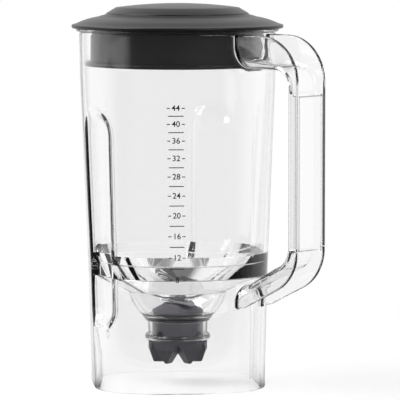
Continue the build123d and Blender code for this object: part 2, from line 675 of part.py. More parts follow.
def blade(base_z, tip_r, rise, bend_x, angle):
    """A two-winged blade stamped from sheet and bent, with pointed wings."""
    climb = tan(radians(rise))
    slant = BLADE_THICKNESS * tan(radians(rise) / 2)
    tip_z = base_z + (tip_r - bend_x) * climb
    low = [(0, base_z), (bend_x, base_z), (tip_r, tip_z)]
    high = [
        (tip_r - BLADE_THICKNESS * sin(radians(rise)), tip_z + BLADE_THICKNESS * cos(radians(rise))),
        (bend_x - slant, base_z + BLADE_THICKNESS),
        (0, base_z + BLADE_THICKNESS),
    ]
    outline = make_face(Plane.XZ * Polyline(*low, *high, close=True))
    strip = extrude(outline, BLADE_HUB_R, both=True)
    wing = make_face(
        Polyline(
            (0, -BLADE_ROOT_HALF),
            (bend_x, -BLADE_ROOT_HALF),
            (tip_r, -BLADE_TIP_HALF),
            (tip_r - BLADE_TIP_HALF, BLADE_TIP_HALF),
            (bend_x, BLADE_ROOT_HALF),
            (0, BLADE_ROOT_HALF),
            close=True,
        )
    )
    depth = abs(tip_z - base_z) + 2 * BLADE_THICKNESS
    plan = extrude(Pos(0, 0, base_z) * (wing + Circle(BLADE_HUB_R)), depth, both=True)
    half_blade = strip & plan
    whole = half_blade + Rot(0, 0, 180) * half_blade
    whole += ring(BLADE_HUB_R, SHAFT_THREAD_R, base_z, base_z + BLADE_THICKNESS)
    whole -= disc(SHAFT_THREAD_R, base_z - depth, base_z + depth)
    return Rot(0, 0, angle) * whole


def blade_nut():
    """The closed hexagon nut on top of the blades."""
    hexagon = RegularPolygon(BLADE_NUT_FLATS / 2, 6, major_radius=False)
    nut = extrude(Pos(0, 0, BLADE_NUT_Z) * hexagon, BLADE_NUT_HEIGHT)
    corner = BLADE_NUT_FLATS / sqrt(3)
    nut = nut & turned(
        [
            (0, BLADE_NUT_Z),
            (corner, BLADE_NUT_Z),
            (corner, BLADE_NUT_TOP_Z - BLADE_NUT_DOME),
            (BLADE_NUT_FLATS / 2 - BLADE_NUT_DOME, BLADE_NUT_TOP_Z),
            (0, BLADE_NUT_TOP_Z),
        ]
    )
    return nut - disc(SHAFT_THREAD_R, BLADE_NUT_Z, BLADE_NUT_TOP_Z - SHAFT_END_INSET)


def insert_blank():
    """The hexagon of the metal insert, which is also its pocket in the coupling."""
    hexagon = RegularPolygon(INSERT_FLATS / 2, 6, major_radius=False)
    bottom = COUPLING_BOTTOM_Z + INSERT_BOTTOM_INSET
    return extrude(Pos(0, 0, bottom) * hexagon, COUPLING_TOP_Z - bottom)


def coupling_insert():
    """The metal insert that grips the shaft's end."""
    return insert_blank() - disc(BEARING_BORE_R, COUPLING_BOTTOM_Z, COUPLING_TOP_Z + CUT_MARGIN)


def drive_coupling():
    """The black coupling: a ring of six teeth round a recess, with the insert moulded into its boss."""
    band_z = COUPLING_TOP_Z - COUPLING_BAND_HEIGHT
    recess_z = COUPLING_BOTTOM_Z + COUPLING_RECESS_DEPTH
    ring_in = COUPLING_TIP_R - COUPLING_RING_WALL
    coupling = turned(
        [
            (0, COUPLING_TOP_Z),
            (COUPLING_R, COUPLING_TOP_Z),
            (COUPLING_R, band_z),
            (COUPLING_TIP_R, COUPLING_BOTTOM_Z),
            (ring_in, COUPLING_BOTTOM_Z),
            (ring_in, recess_z),
            (COUPLING_BOSS_R, recess_z),
            (COUPLING_BOSS_R, COUPLING_BOTTOM_Z + COUPLING_BOSS_INSET),
            (0, COUPLING_BOTTOM_Z + COUPLING_BOSS_INSET),
        ]
    )
    apex_z = COUPLING_BOTTOM_Z + COUPLING_GULLET_DEPTH
    notch = make_face(
        Plane.YZ
        * Polyline(
            (-COUPLING_GULLET_HALF_WIDTH, COUPLING_BOTTOM_Z - CUT_MARGIN),
            (COUPLING_GULLET_HALF_WIDTH, COUPLING_BOTTOM_Z - CUT_MARGIN),
            (COUPLING_GULLET_ROUND, apex_z),
            (-COUPLING_GULLET_ROUND, apex_z),
            close=True,
        )
    )
    cutter = extrude(Pos(COUPLING_BOSS_R, 0, 0) * notch, 2 * COUPLING_R)
    for i in range(COUPLING_TEETH):
        coupling -= Rot(0, 0, COUPLING_FIRST_GULLET + i * 360 / COUPLING_TEETH) * cutter
    bore = disc(BEARING_BORE_R, COUPLING_BOTTOM_Z, COUPLING_TOP_Z + CUT_MARGIN)
    return coupling - insert_blank() - bore


def all_parts():
    """Every separate piece, by its name."""
    return {
        "container": container(),
        "lid": lid(),
        "filler_cap": filler_cap(),
        "bearing_housing": bearing_housing(),
        "housing_gasket": housing_gasket(),
        "retaining_washer": retaining_washer(),
        "retaining_nut": retaining_nut(),
        "upper_bearing_outer_race": outer_race(UPPER_BEARING_Z),
        "upper_bearing_inner_race": inner_race(UPPER_BEARING_Z),
        "upper_bearing_balls": Compound(bearing_balls(UPPER_BEARING_Z)),
        "lower_bearing_outer_race": outer_race(LOWER_BEARING_Z),
        "lower_bearing_inner_race": inner_race(LOWER_BEARING_Z),
        "lower_bearing_balls": Compound(bearing_balls(LOWER_BEARING_Z)),
        "bearing_circlip": bearing_circlip(),
        "shaft_seal": shaft_seal(),
        "drive_shaft": drive_shaft(),
        "lower_slinger": lower_slinger(),
        "thrust_washer": ring(THRUST_WASHER_R, SHAFT_THREAD_R, SHAFT_SHOULDER_Z, LOWER_BLADE_Z),
        "lower_blade": blade(
            LOWER_BLADE_Z, LOWER_BLADE_R, LOWER_BLADE_RISE, LOWER_BLADE_BEND_X, LOWER_BLADE_ANGLE
        ),
        "blade_spacer": ring(BLADE_SPACER_R, SHAFT_THREAD_R, SPACER_Z, UPPER_BLADE_Z),
        "upper_blade": blade(
            UPPER_BLADE_Z, UPPER_BLADE_R, UPPER_BLADE_RISE, UPPER_BLADE_BEND_X, UPPER_BLADE_ANGLE
        ),
        "blade_lock_washer": ring(LOCK_WASHER_R, SHAFT_THREAD_R, LOCK_WASHER_Z, BLADE_NUT_Z),
        "blade_nut": blade_nut(),
        "coupling_insert": coupling_insert(),
        "drive_coupling": drive_coupling(),
    }


os.makedirs("parts", exist_ok=True)
for node, shape in all_parts().items():
    export_step(shape, f"parts/{node}.step")
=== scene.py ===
"""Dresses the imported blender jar: clear polycarbonate, black rubber, dark nylon and steel, on a pale floor.

Sizes are worked out in millimetres and turned to metres once, as each piece is finished.
"""

from math import atan2, cos, hypot, pi, radians, sin, sqrt, tan
from types import SimpleNamespace

import bmesh
import bpy
from bpy.props import FloatProperty, FloatVectorProperty, PointerProperty
from bpy.types import Operator, Panel, PropertyGroup
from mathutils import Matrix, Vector


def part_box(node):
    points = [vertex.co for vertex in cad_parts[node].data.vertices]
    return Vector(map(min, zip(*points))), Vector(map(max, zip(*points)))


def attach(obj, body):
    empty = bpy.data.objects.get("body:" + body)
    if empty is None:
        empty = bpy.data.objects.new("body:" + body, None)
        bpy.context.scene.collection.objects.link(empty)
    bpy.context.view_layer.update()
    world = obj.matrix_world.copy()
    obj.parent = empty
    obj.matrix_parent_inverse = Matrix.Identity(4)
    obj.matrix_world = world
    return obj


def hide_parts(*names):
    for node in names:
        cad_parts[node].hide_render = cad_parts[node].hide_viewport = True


bl_info = {
    "name": "Blender Jar",
    "version": (1, 0, 0),
    "blender": (4, 5, 0),
    "location": "3D View > Sidebar > Blender Jar",
    "description": "Models and finishes a fluted blender jar, its lid and its cutter assembly",
    "category": "Object",
}

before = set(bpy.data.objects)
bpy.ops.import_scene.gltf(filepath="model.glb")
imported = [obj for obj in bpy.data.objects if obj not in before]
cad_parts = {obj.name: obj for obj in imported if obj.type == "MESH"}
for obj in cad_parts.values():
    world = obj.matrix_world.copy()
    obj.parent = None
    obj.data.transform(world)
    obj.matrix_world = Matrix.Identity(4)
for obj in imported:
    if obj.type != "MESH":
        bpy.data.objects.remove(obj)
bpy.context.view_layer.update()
MM = 0.001
MOUTH_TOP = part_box("container")[1].z / MM
HANDLE_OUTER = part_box("container")[1].x / MM
LID_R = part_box("lid")[1].x / MM
CAP_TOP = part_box("filler_cap")[1].z / MM

# Steps along an arc of an outline, and the rounding from which it takes the larger number
FINE_ARC, COARSE_ARC, COARSE_FROM = 4, 9, 2.5
# Edges sharper than the first angle stay crisp, and faces within the second are one flat
CRISP_ANGLE, FLAT_ANGLE = radians(38), radians(0.6)
LATHE_STEPS = 144


# Sizes and colours that a user would change


def length(name, millimetres, description):
    """A size, given in millimetres and kept in metres."""
    return FloatProperty(name=name, description=description, default=millimetres * MM, unit="LENGTH", precision=5)


def angle(name, degrees_turned, description):
    """An angle, given in degrees and kept in radians."""
    return FloatProperty(name=name, description=description, default=radians(degrees_turned), unit="ROTATION")


def colour(name, hex_code, description):
    """A colour, given as sRGB hex and kept linear."""
    return FloatVectorProperty(
        name=name, description=description, default=linear(hex_code), size=4, min=0.0, max=1.0, subtype="COLOR"
    )


def linear(hex_code):
    """Linear colour with full alpha from an sRGB hex code."""
    parts = [int(hex_code[i : i + 2], 16) / 255 for i in (0, 2, 4)]
    return [p / 12.92 if p <= 0.04045 else ((p + 0.055) / 1.055) ** 2.4 for p in parts] + [1.0]


def in_millimetres(group):
    """The lengths of a group of sizes, in millimetres."""
    values = {name: getattr(group, name) for name in group.__annotations__}
    lengths = {name: group.bl_rna.properties[name].unit == "LENGTH" for name in values}
    return SimpleNamespace(**{name: v / MM if lengths[name] else v for name, v in values.items()})


class ContainerSizes(PropertyGroup):
    wall: length("Wall", 3.0, "Thickness of the moulded wall")
    foot_half: length("Foot half width", 56.5, "Half the width across the flats at the foot")
    foot_flat: length("Foot flat", 16.5, "Half of each flat at the foot")
    waist_z: length("Waist height", 79.0, "Height at which the funnel leaves the wall")
    waist_half: length("Waist half width", 58.8, "Half the width across the flats at the waist")
    waist_flat: length("Waist flat", 12.8, "Half of each flat at the waist")
    shoulder_z: length("Shoulder height", 205.0, "Height at which the wall turns nearly upright")
    shoulder_half: length("Shoulder half width", 64.8, "Half the width across the flats at the shoulder")
    shoulder_flat: length("Shoulder flat", 2.8, "Half of each flat at the shoulder")
    mouth_z: length("Mouth height", MOUTH_TOP, "Height of the rim")
    mouth_half: length("Mouth half width", 65.4, "Half the width of the mouth")
    mouth_flat: length("Mouth flat", 0.8, "Half of each flat at the mouth")
    rim_r: length("Rim radius", 67.5, "Radius of the bead round the mouth")
    rim_height: length("Rim height", 2.0, "Height of the bead round the mouth")
    edge: length("Edge rounding", 0.8, "Rounding of the rim and of the foot")
    funnel_round: length("Funnel rounding", 8.0, "Rounding where the funnel leaves the wall")
    bowl_r: length("Bowl radius", 30.3, "Radius of the bowl's rim in the funnel")
    bowl_z: length("Bowl height", 65.0, "Height of the bowl's rim")
    bowl_bulge: length("Bowl bulge", 2.2, "How far the bowl's side bulges outwards")
    bowl_wall: length("Bowl wall", 2.6, "Thickness of the bowl's side")
    floor_r: length("Floor radius", 20.0, "Radius of the flat floor")
    floor_z: length("Floor height", 46.5, "Height of the flat floor")
    floor_thickness: length("Floor thickness", 3.5, "Thickness of the flat floor")
    hole_r: length("Floor hole", 12.7, "Radius of the hole for the cutter housing")
    collar_r: length("Collar radius", 20.3, "Radius of the collar under the floor")
    collar_wall: length("Collar wall", 2.5, "Thickness of the collar")
    collar_z: length("Collar bottom", 31.0, "Height of the collar's open end")
    collar_lip: length("Collar lip", 2.2, "Height of the lip round the collar's open end")
    web_drop: length("Funnel thickness", 2.6, "Upright thickness of the funnel")


class FluteSizes(PropertyGroup):
    half: length("Half width", 10.0, "Half the width of the flute's floor")
    bottom_z: length("Bottom", 49.0, "Height of the flute's lower end")
    bottom_round: length("Bottom corners", 6.0, "Rounding of its lower corners")
    spring_z: length("Arch", 168.0, "Height at which its arched top begins")
    bottom_floor_r: length("Lower floor", 54.6, "Distance of its floor from the axis at the lower end")
    top_floor_r: length("Upper floor", 58.2, "Distance of its floor from the axis at the arch")
    blend: length("Blend", 3.2, "How softly its edges run into the wall")


class HandleSizes(PropertyGroup):
    outer_x: length("Reach", HANDLE_OUTER, "Distance of the grip's outer face from the axis")
    finger_x: length("Finger side", 104.4, "Distance of the grip's finger side from the axis")
    top_z: length("Top", 235.0, "Height of the upper arm")
    arm_z: length("Upper arm underside", 213.0, "Height of the upper arm's finger side")
    low_z: length("Lower corner", 89.6, "Height of the lower corner on the finger side")
    lower_depth: length("Lower arm depth", 15.6, "Upright depth of the lower arm")
    outer_bend: length("Outer bend", 30.0, "Radius of the two outer bends")
    upper_bend: length("Upper finger bend", 11.0, "Radius of the upper bend on the finger side")
    lower_bend: length("Lower finger bend", 14.0, "Radius of the lower bend on the finger side")
    half_width: length("Half width", 15.5, "Half the width of the grip")
    root_half: length("Root half width", 19.5, "Half the width of the upper arm at the wall")
    finger_round: length("Finger rounding", 3.6, "Rounding of the finger side's edges")
    upper_root_round: length("Upper arch", 18.5, "Rounding of the upper arm at the wall")
    lower_root_round: length("Lower arch", 14.0, "Rounding of the lower arm at the wall")
    web: length("Web", 3.0, "Thickness of the channel's walls")
    free_edge: length("Free edges", 1.4, "Rounding of the channel's free edges")
    upper_shelf_z: length("Upper pocket", 195.0, "Height at which the upper pocket ends in the grip")
    lower_shelf_z: length("Lower pocket", 97.6, "Height at which the lower pocket ends in the grip")
    pocket_round: length("Pocket rounding", 5.0, "Rounding of the pockets' ends")
    root_fillet: length("Root fillet", 1.8, "Fillet where the arms meet the wall")


class JarAngles(PropertyGroup):
    slope: angle("Lower arm slope", 26, "Slope of the handle's lower arm")
    flute_turn: angle("Flute angle", 108, "Angle of each flute from the handle")
    scale_turn: angle("Scale angle", -49.5, "Angle of the printed scale's foot from the handle")
    coupling_turn: angle("Coupling angle", -49.0, "Angle of one gullet of the coupling from the handle")
    scale_lean: angle("Scale lean", -1.5, "How far the scale turns from its foot to its top mark")


class LidSizes(PropertyGroup):
    rim_r: length("Rim radius", LID_R, "Outer radius of the lid's flange")
    rim_z: length("Rim height", MOUTH_TOP, "Height of the flange's underside, on the container's rim")
    rim_height: length("Rim thickness", 1.8, "Thickness of the flange at its edge")
    rim_round: length("Rim rounding", 0.8, "Rounding of the flange's edge")
    plateau_z: length("Plateau height", 245.6, "Height of the ring round the filler cap")
    seat_r: length("Cap seat radius", 50.35, "Radius of the recess for the filler cap")
    seat_z: length("Cap seat", 243.6, "Height of the seat for the filler cap")
    skirt_r: length("Skirt radius", 58.2, "Outer radius of the skirt that plugs the mouth")
    skirt_z: length("Skirt bottom", 213.0, "Height of the skirt's lower edge")
    skirt_wall: length("Skirt wall", 2.2, "Thickness of the skirt")
    lip_r: length("Lip radius", 61.5, "Radius of the sealing lip at the skirt's foot")
    sleeve_r: length("Sleeve radius", 44.25, "Inner radius of the sleeve that takes the cap's plug")
    top_thickness: length("Top thickness", 3.0, "Thickness of the lid's top")
    cap_r: length("Cap radius", 50.0, "Radius of the filler cap")
    cap_top_z: length("Cap top", CAP_TOP, "Height of the cap's crown")


class CouplingSizes(PropertyGroup):
    outer_r: length("Radius", 19.1, "Radius of the coupling's band")
    top_z: length("Top", 29.4, "Height of the coupling's top")
    band_z: length("Band", 24.1, "Height at which its side begins to taper")
    low_z: length("Tooth tips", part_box("drive_coupling")[0].z / MM, "Height of the teeth's tips")
    tip_r: length("Tip radius", 15.6, "Outer radius of the teeth's tips")
    tip_in_r: length("Inner tip radius", 9.6, "Inner radius of the teeth")
    tip_half: length("Tip half width", 1.0, "Half the width of a tooth's tip")
    recess_z: length("Recess", 24.6, "Height of the recess inside the teeth")
    flank: FloatProperty(name="Flank", description="How fast a tooth widens upwards", default=0.655)


class GraduationSizes(PropertyGroup):
    digit_height: length("Digit height", 3.8, "Height of the numerals")
    digit_weight: length("Digit weight", 0.07, "How much bolder the numerals are than the plain face")
    tick_length: length("Tick length", 9.7, "Length of the marks between the numerals")
    dash_length: length("Dash length", 2.1, "Length of the dashes beside the numerals")
    dash_reach: length("Dash reach", 4.7, "Distance of each dash from the scale's middle")
    stroke: length("Stroke", 0.6, "Thickness of the marks")
    ink: length("Ink", 0.06, "Thickness of the printed ink")
    top_z: length("Top mark", 188.1, "Height of the highest mark")


class Finishes(PropertyGroup):
    clear: colour("Clear plastic", "FEFEFE", "Tint of the moulded container")
    # Painted shade: this grey, laid on where the wall is seen edge-on, stands in for the dark limb lines from
    # reflections and total internal reflection
    clear_edge: colour("Clear plastic edge", "8E9294", "Tint of the container where it is seen along its wall")
    rubber: colour("Lid rubber", "101011", "Colour of the lid and the filler cap")
    nylon: colour("Housing nylon", "5A585E", "Colour of the cutter housing and its nut")
    acetal: colour("Coupling acetal", "403F44", "Colour of the drive coupling")
    seal: colour("Seal rubber", "141414", "Colour of the gasket and the lip seal")
    steel: colour("Stainless steel", "A6A6AA", "Colour of the shaft, washers and nut")
    blade: colour("Blade steel", "ACACB0", "Colour of the blades")
    brass: colour("Brass", "C8A45A", "Colour of the insert in the coupling")
    ink: colour("Ink", "1E1F21", "Colour of the printed scale")


class StageSettings(PropertyGroup):
    camera_spot: FloatVectorProperty(
        name="Camera", description="Where the camera stands", default=(1.5427, -1.8385, 0.330), unit="LENGTH"
    )
    camera_target: FloatVectorProperty(
        name="Target", description="What the camera looks at", default=(0.0115, 0.0096, 0.123), unit="LENGTH"
    )
    focal: FloatProperty(name="Focal length", description="Focal length in millimetres", default=325.0)
    key: FloatProperty(name="Key lamp", description="Power of the large lamp", default=26.0, unit="POWER")
    fill: FloatProperty(name="Fill lamp", description="Power of the weaker lamp", default=9.0, unit="POWER")
    ambient: FloatProperty(name="Ambient", description="Level of the surroundings", default=0.62)


# Node and material helpers


def add_node(tree, kind, settings=None, links=None):
    """Adds a node, sets its attributes and input values, and links its inputs."""
    node = tree.nodes.new(kind)
    for name, value in (settings or {}).items():
        if name == "stops":
            ramp = node.color_ramp
            for spot, tint in value:
                stop = ramp.elements.new(spot)
                stop.color = tint
            ramp.elements.remove(ramp.elements[0])
            ramp.elements.remove(ramp.elements[-1])
        elif isinstance(name, str) and hasattr(node, name):
            setattr(node, name, value)
        else:
            node.inputs[name].default_value = value
    for name, socket in (links or {}).items():
        tree.links.new(socket, node.inputs[name])
    return node


def grey(level):
    return (level, level, level, 1.0)


def new_finish(name, **settings):
    """A material with one Principled shader, whose own sockets hold the settings."""
    finish = bpy.data.materials.new(name)
    finish.use_nodes = True
    tree = finish.node_tree
    tree.nodes.clear()
    shader = add_node(tree, "ShaderNodeBsdfPrincipled", settings)
    add_node(tree, "ShaderNodeOutputMaterial", links={"Surface": shader.outputs[0]})
    return finish, tree, shader


def show(tree, shader):
    """Lets the material show a blend in place of its first shader."""
    output = next(n for n in tree.nodes if n.bl_idname == "ShaderNodeOutputMaterial")
    tree.links.new(shader.outputs[0], output.inputs["Surface"])


def mix_shaders(tree, share, first, second):
    """A blend of two shaders, by a share from 0 to 1."""
    return add_node(tree, "ShaderNodeMixShader", links={0: share, 1: first.outputs[0], 2: second.outputs[0]})


def raise_surface(tree, shader, pattern, height):
    """Lets a pattern raise the surface by a height in millimetres."""
    bump = add_node(tree, "ShaderNodeBump", {"Distance": height * MM, "Strength": 1.0}, {"Height": pattern})
    tree.links.new(bump.outputs[0], shader.inputs["Normal"])


def grain(tree, shader, size, height, stretch=(1.0, 1.0, 1.0), detail=2.0):
    """A fine bump whose grain has a real size in millimetres. Stretch turns it into lay lines."""
    place = add_node(tree, "ShaderNodeTexCoord")
    mapping = add_node(tree, "ShaderNodeMapping", {"Scale": stretch}, {"Vector": place.outputs["Object"]})
    settings = {"Scale": 1 / (size * MM), "Detail": detail}
    noise = add_node(tree, "ShaderNodeTexNoise", settings, {"Vector": mapping.outputs[0]})
    raise_surface(tree, shader, noise.outputs["Fac"], height)


# Mesh helpers


def rounded(corners):
    """Points along a line through corners (x, y, rounding), each rounding drawn as an arc."""
    points = []
    for index, (x, y, bend) in enumerate(corners):
        here = Vector((x, y))
        if not bend:
            points.append(here)
            continue
        before = (Vector(corners[index - 1][:2]) - here).normalized()
        after = (Vector(corners[(index + 1) % len(corners)][:2]) - here).normalized()
        half = before.angle(after) / 2
        centre = here + (before + after).normalized() * bend / sin(half)
        start, end = (here + side * bend / tan(half) - centre for side in (before, after))
        steps = FINE_ARC if bend < COARSE_FROM else COARSE_ARC
        points += [centre + start.slerp(end, step / steps) for step in range(steps + 1)]
    return points


def soft_max(a, b, blend):
    """The larger of two values, with the crease between them rounded."""
    near = max(blend - abs(a - b), 0.0) / blend
    return max(a, b) + near * near * blend / 4


def soft_min(a, b, blend):
    return -soft_max(-a, -b, blend)


def mix(a, b, share):
    return a + (b - a) * share


def lathe(outline):
    """A bmesh turned from an outline of (radius, height) round the axis."""
    bm = bmesh.new()
    verts = [bm.verts.new((r, 0.0, z)) for r, z in outline]
    edges = [bm.edges.new(pair) for pair in zip(verts, verts[1:])]
    bmesh.ops.spin(
        bm,
        geom=verts + edges,
        cent=(0.0, 0.0, 0.0),
        axis=(0.0, 0.0, 1.0),
        angle=2 * pi,
        steps=LATHE_STEPS,
        use_merge=True,
    )
    clean(bm)
    return bm


def wrap_grid(columns, rows, place):
    """A flat grid bent into place: each column and row goes where the function says."""
    bm = bmesh.new()
    bmesh.ops.create_grid(bm, x_segments=columns, y_segments=rows, size=1.0)
    for vert in bm.verts:
        vert.co = place(round((vert.co.x + 1) * columns / 2), round((vert.co.y + 1) * rows / 2))
    return bm


def clean(bm, gap=1e-4):
    bmesh.ops.remove_doubles(bm, verts=bm.verts, dist=gap)
    bmesh.ops.dissolve_degenerate(bm, edges=bm.edges, dist=gap / 10)
    bmesh.ops.recalc_face_normals(bm, faces=bm.faces)


def make_object(name, bm, finish=None, scale=MM):
    """An object at the origin from a bmesh drawn in millimetres."""
    bmesh.ops.scale(bm, vec=(scale, scale, scale), verts=bm.verts)
    mesh = bpy.data.meshes.new(name)
    bm.to_mesh(mesh)
    bm.free()
    if finish:
        mesh.materials.append(finish)
    piece = bpy.data.objects.new(name, mesh)
    bpy.context.scene.collection.objects.link(piece)
    return piece


def weigh_normals(piece):
    """Lets the normals follow the larger faces."""
    weighted = piece.modifiers.new("Weighted normals", "WEIGHTED_NORMAL")
    weighted.keep_sharp = True
    return piece


def smooth(piece):
    """Smooth faces with crisp edges."""
    piece.data.shade_smooth()
    piece.data.set_sharp_from_angle(angle=CRISP_ANGLE)
    return weigh_normals(piece)


def ease_edges(piece, ease):
    """Rounds the crisp edges a little, as moulding or tumbling leaves them."""
    bevel = piece.modifiers.new("Eased edges", "BEVEL")
    bevel.width, bevel.segments = ease * MM, 2
    bevel.limit_method, bevel.angle_limit = "ANGLE", CRISP_ANGLE


def dress(piece, body, slot, *nodes):
    """Lets a piece move with its body and stand for its CAD nodes."""
    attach(piece, body)
    if nodes:
        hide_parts(*nodes)


def eased_copy(name, node, finish, ease):
    """A copy of a CAD node with eased edges."""
    bm = bmesh.new()
    bm.from_mesh(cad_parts[node].data)
    bmesh.ops.remove_doubles(bm, verts=bm.verts, dist=2e-6)
    bmesh.ops.dissolve_limit(bm, angle_limit=FLAT_ANGLE, verts=bm.verts, edges=bm.edges)
    piece = make_object(name, bm, finish, 1.0)
    piece.data.shade_smooth()
    ease_edges(piece, ease)
    return weigh_normals(piece)


def joined(name, body, other, finish, operation="UNION"):
    """A body with another closed solid welded on or cut away, in one finish."""
    weld = body.modifiers.new("Weld", "BOOLEAN")
    weld.operation, weld.solver, weld.object = operation, "MANIFOLD", other
    bpy.context.view_layer.update()
    mesh = bpy.data.meshes.new_from_object(body.evaluated_get(bpy.context.evaluated_depsgraph_get()))
    mesh.name = name
    mesh.materials.clear()
    mesh.materials.append(finish)
    for scrap in (body, other):
        bpy.data.objects.remove(scrap)
    piece = bpy.data.objects.new(name, mesh)
    bpy.context.scene.collection.objects.link(piece)
    return piece


# The container

# The levels of the wall run into one another within this height
LEVEL_BLEND = 6
# How far a flute reaches on each side of its middle, below its lower end and above its arch
FLUTE_SPREAD, FLUTE_BELOW, FLUTE_ABOVE = radians(22), 14, 16
# A flute's sides lean out by 45 degrees, so a face inset from them moves in by the tangent of half of that
FLANK_SHIFT = tan(radians(22.5))
# Rings of the wall: their distance at a flute's ends and elsewhere, and the least gap between the two kinds
FINE_RING, COARSE_RING, RING_GAP = 0.9, 8, 3
# Outlines round the wall: their angle at a flute and elsewhere, and the angle from a flute's middle to its side
FINE_TURN, COARSE_TURN, FLUTE_SIDE = radians(0.75), radians(2.25), radians(19)


def wall_section(sizes, z):
    """Half width and half flat of the rounded square at a height, with the bends between levels softened."""
    levels = (
        (0.0, sizes.foot_half, sizes.foot_flat),
        (sizes.waist_z, sizes.waist_half, sizes.waist_flat),
        (sizes.shoulder_z, sizes.shoulder_half, sizes.shoulder_flat),
        (sizes.mouth_z, sizes.mouth_half, sizes.mouth_flat),
    )
    halves, flats = [], []
    for height in (z - LEVEL_BLEND, z, z + LEVEL_BLEND):
        low, high = next((pair for pair in zip(levels, levels[1:]) if height <= pair[1][0]), levels[-2:])
        share = (height - low[0]) / (high[0] - low[0])
        halves.append(mix(low[1], high[1], share))
        flats.append(mix(low[2], high[2], share))
    return sum(halves) / 3, sum(flats) / 3


def plain_wall_r(sizes, turn, z, inset):
    """Distance of the wall's face from the axis, before the flutes."""
    half, flat = wall_section(sizes, z)
    half -= inset
    off_flat = abs((turn % (pi / 2)) - pi / 4)
    if tan(off_flat) <= flat / half:
        return half / cos(off_flat)
    spread = cos(off_flat) + sin(off_flat)
    return flat * spread + sqrt((flat * spread) ** 2 - 2 * flat**2 + (half - flat) ** 2)


def flute_r(flute, turn_off, z, inset, guess):
    """Distance of the flute's face from the axis, at an angle from the flute's middle."""
    rise = (z - flute.bottom_z) / (flute.spring_z - flute.bottom_z)
    floor = mix(flute.bottom_floor_r, flute.top_floor_r, rise) - inset
    corner = flute.bottom_round
    r = guess
    for _ in range(6):
        across = abs(r * sin(turn_off))
        if z > flute.spring_z:
            outside = hypot(across, z - flute.spring_z) - flute.half
        else:
            over, under = across - flute.half + corner, flute.bottom_z + corner - z
            outside = hypot(max(over, 0), max(under, 0)) + min(max(over, under), 0) - corner
        outside -= inset * FLANK_SHIFT
        r = (floor + soft_max(0.0, outside, flute.blend)) / cos(turn_off)
    return r


def wall_r(sizes, flute, flute_turn, turn, z, inset=0.0):
    """Distance of the wall's outer face, or of a face inset from it, from the axis."""
    plain = plain_wall_r(sizes, turn, z, inset)
    turn_off = abs((turn + pi) % (2 * pi) - pi) - flute_turn
    low, high = flute.bottom_z - FLUTE_BELOW, flute.spring_z + flute.half + FLUTE_ABOVE
    if abs(turn_off) > FLUTE_SPREAD or not low < z < high:
        return plain
    return soft_min(plain, flute_r(flute, turn_off, z, inset, plain), flute.blend)


def wall_heights(low, high, flute):
    """Heights of the rings of a wall: close together at the flutes' ends, and wide apart between."""
    fine = [flute.bottom_z - 8 + step * FINE_RING for step in range(19)]
    fine += [flute.spring_z - 2 + step * FINE_RING for step in range(28)]
    coarse = [2 + step * COARSE_RING for step in range(30)]
    kept = [z for z in coarse if min(abs(z - f) for f in fine) > RING_GAP]
    return sorted(z for z in fine + kept if low < z < high)


def bowl_arc(sizes, away):
    """Points of the bowl's side from its rim down to the floor, or of a side away from it by a wall."""
    rim, foot = Vector((sizes.bowl_r, sizes.bowl_z)), Vector((sizes.floor_r, sizes.floor_z))
    out = Vector((rim.y - foot.y, foot.x - rim.x)).normalized()
    steps = [step / COARSE_ARC for step in range(COARSE_ARC + 1)]
    bulge = [mix(rim, foot, s) + out * sizes.bowl_bulge * 4 * s * (1 - s) for s in steps]
    return [(p + out * away)[:] for p in bulge]


def container_outline(sizes, flute, flute_turn, turn):
    """The container's closed outline at one angle: up the outer face, down the inner one, and back under."""

    def face(z, inset=0.0):
        return wall_r(sizes, flute, flute_turn, turn, z, inset)

    wall, edge, mouth = sizes.wall, sizes.edge, sizes.mouth_z
    under = mouth - sizes.rim_height
    outline = [(face(0), 0, edge)]
    outline += [(face(z), z, 0) for z in wall_heights(3, under - 2, flute)]
    outline += [
        (face(under), under, 0.5),
        (sizes.rim_r, under, edge),
        (sizes.rim_r, mouth, edge),
        (face(mouth, wall), mouth, edge),
    ]
    waist = sizes.waist_z
    outline += [(face(z, wall), z, 0) for z in reversed(wall_heights(waist + 6, mouth - 2, flute))]
    outline += [
        (face(waist, wall), waist, sizes.funnel_round),
        (sizes.bowl_r, sizes.bowl_z, 1.0),
        *[(r, z, 0) for r, z in bowl_arc(sizes, 0.0)[1:-1]],
        (sizes.floor_r, sizes.floor_z, 1.2),
        (sizes.hole_r, sizes.floor_z, 0.4),
    ]
    low = sizes.floor_z - sizes.floor_thickness
    inner, foot = sizes.collar_r - sizes.collar_wall, sizes.collar_z
    lip = sizes.collar_r + 0.8
    outline += [
        (sizes.hole_r, low, 0.4),
        (inner, low, 0.4),
        (inner, foot, 0.3),
        (lip, foot, 0.3),
        (lip, foot + sizes.collar_lip, 0.3),
        (sizes.collar_r, foot + sizes.collar_lip, 0.3),
        (sizes.collar_r, low, 0.6),
        (sizes.floor_r + 1.2, low, 0.8),
        *[(r, z, 0) for r, z in reversed(bowl_arc(sizes, sizes.bowl_wall)[1:-1])],
        (sizes.bowl_r + sizes.bowl_wall, sizes.bowl_z - sizes.web_drop + 1.4, 1.0),
        (face(waist - sizes.web_drop, wall), waist - sizes.web_drop, 1.5),
    ]
    outline += [(face(z, wall), z, 0) for z in reversed(wall_heights(3, waist - 12, flute))]
    outline += [(face(0, wall), 0, edge)]
    return rounded(outline)


def container_turns(flute_turn):
    """Angles of the outlines round the container: close together at the flutes."""
    turns, turn = [], 0.0
    while turn < 2 * pi - 1e-6:
        turns.append(turn)
        off = abs(min(turn, 2 * pi - turn) - flute_turn)
        turn += FINE_TURN if off < FLUTE_SIDE else COARSE_TURN
    return turns + [2 * pi]


# The handle


# The upper arm's rings start at X = 70.5 and the lower arm's end at 70. From 92 inwards both flare towards the wall
ARM_START_X, ARM_END_X, FLARE_START_X, FLARE_END_X = 70.5, 70.0, 92.0, 55.8
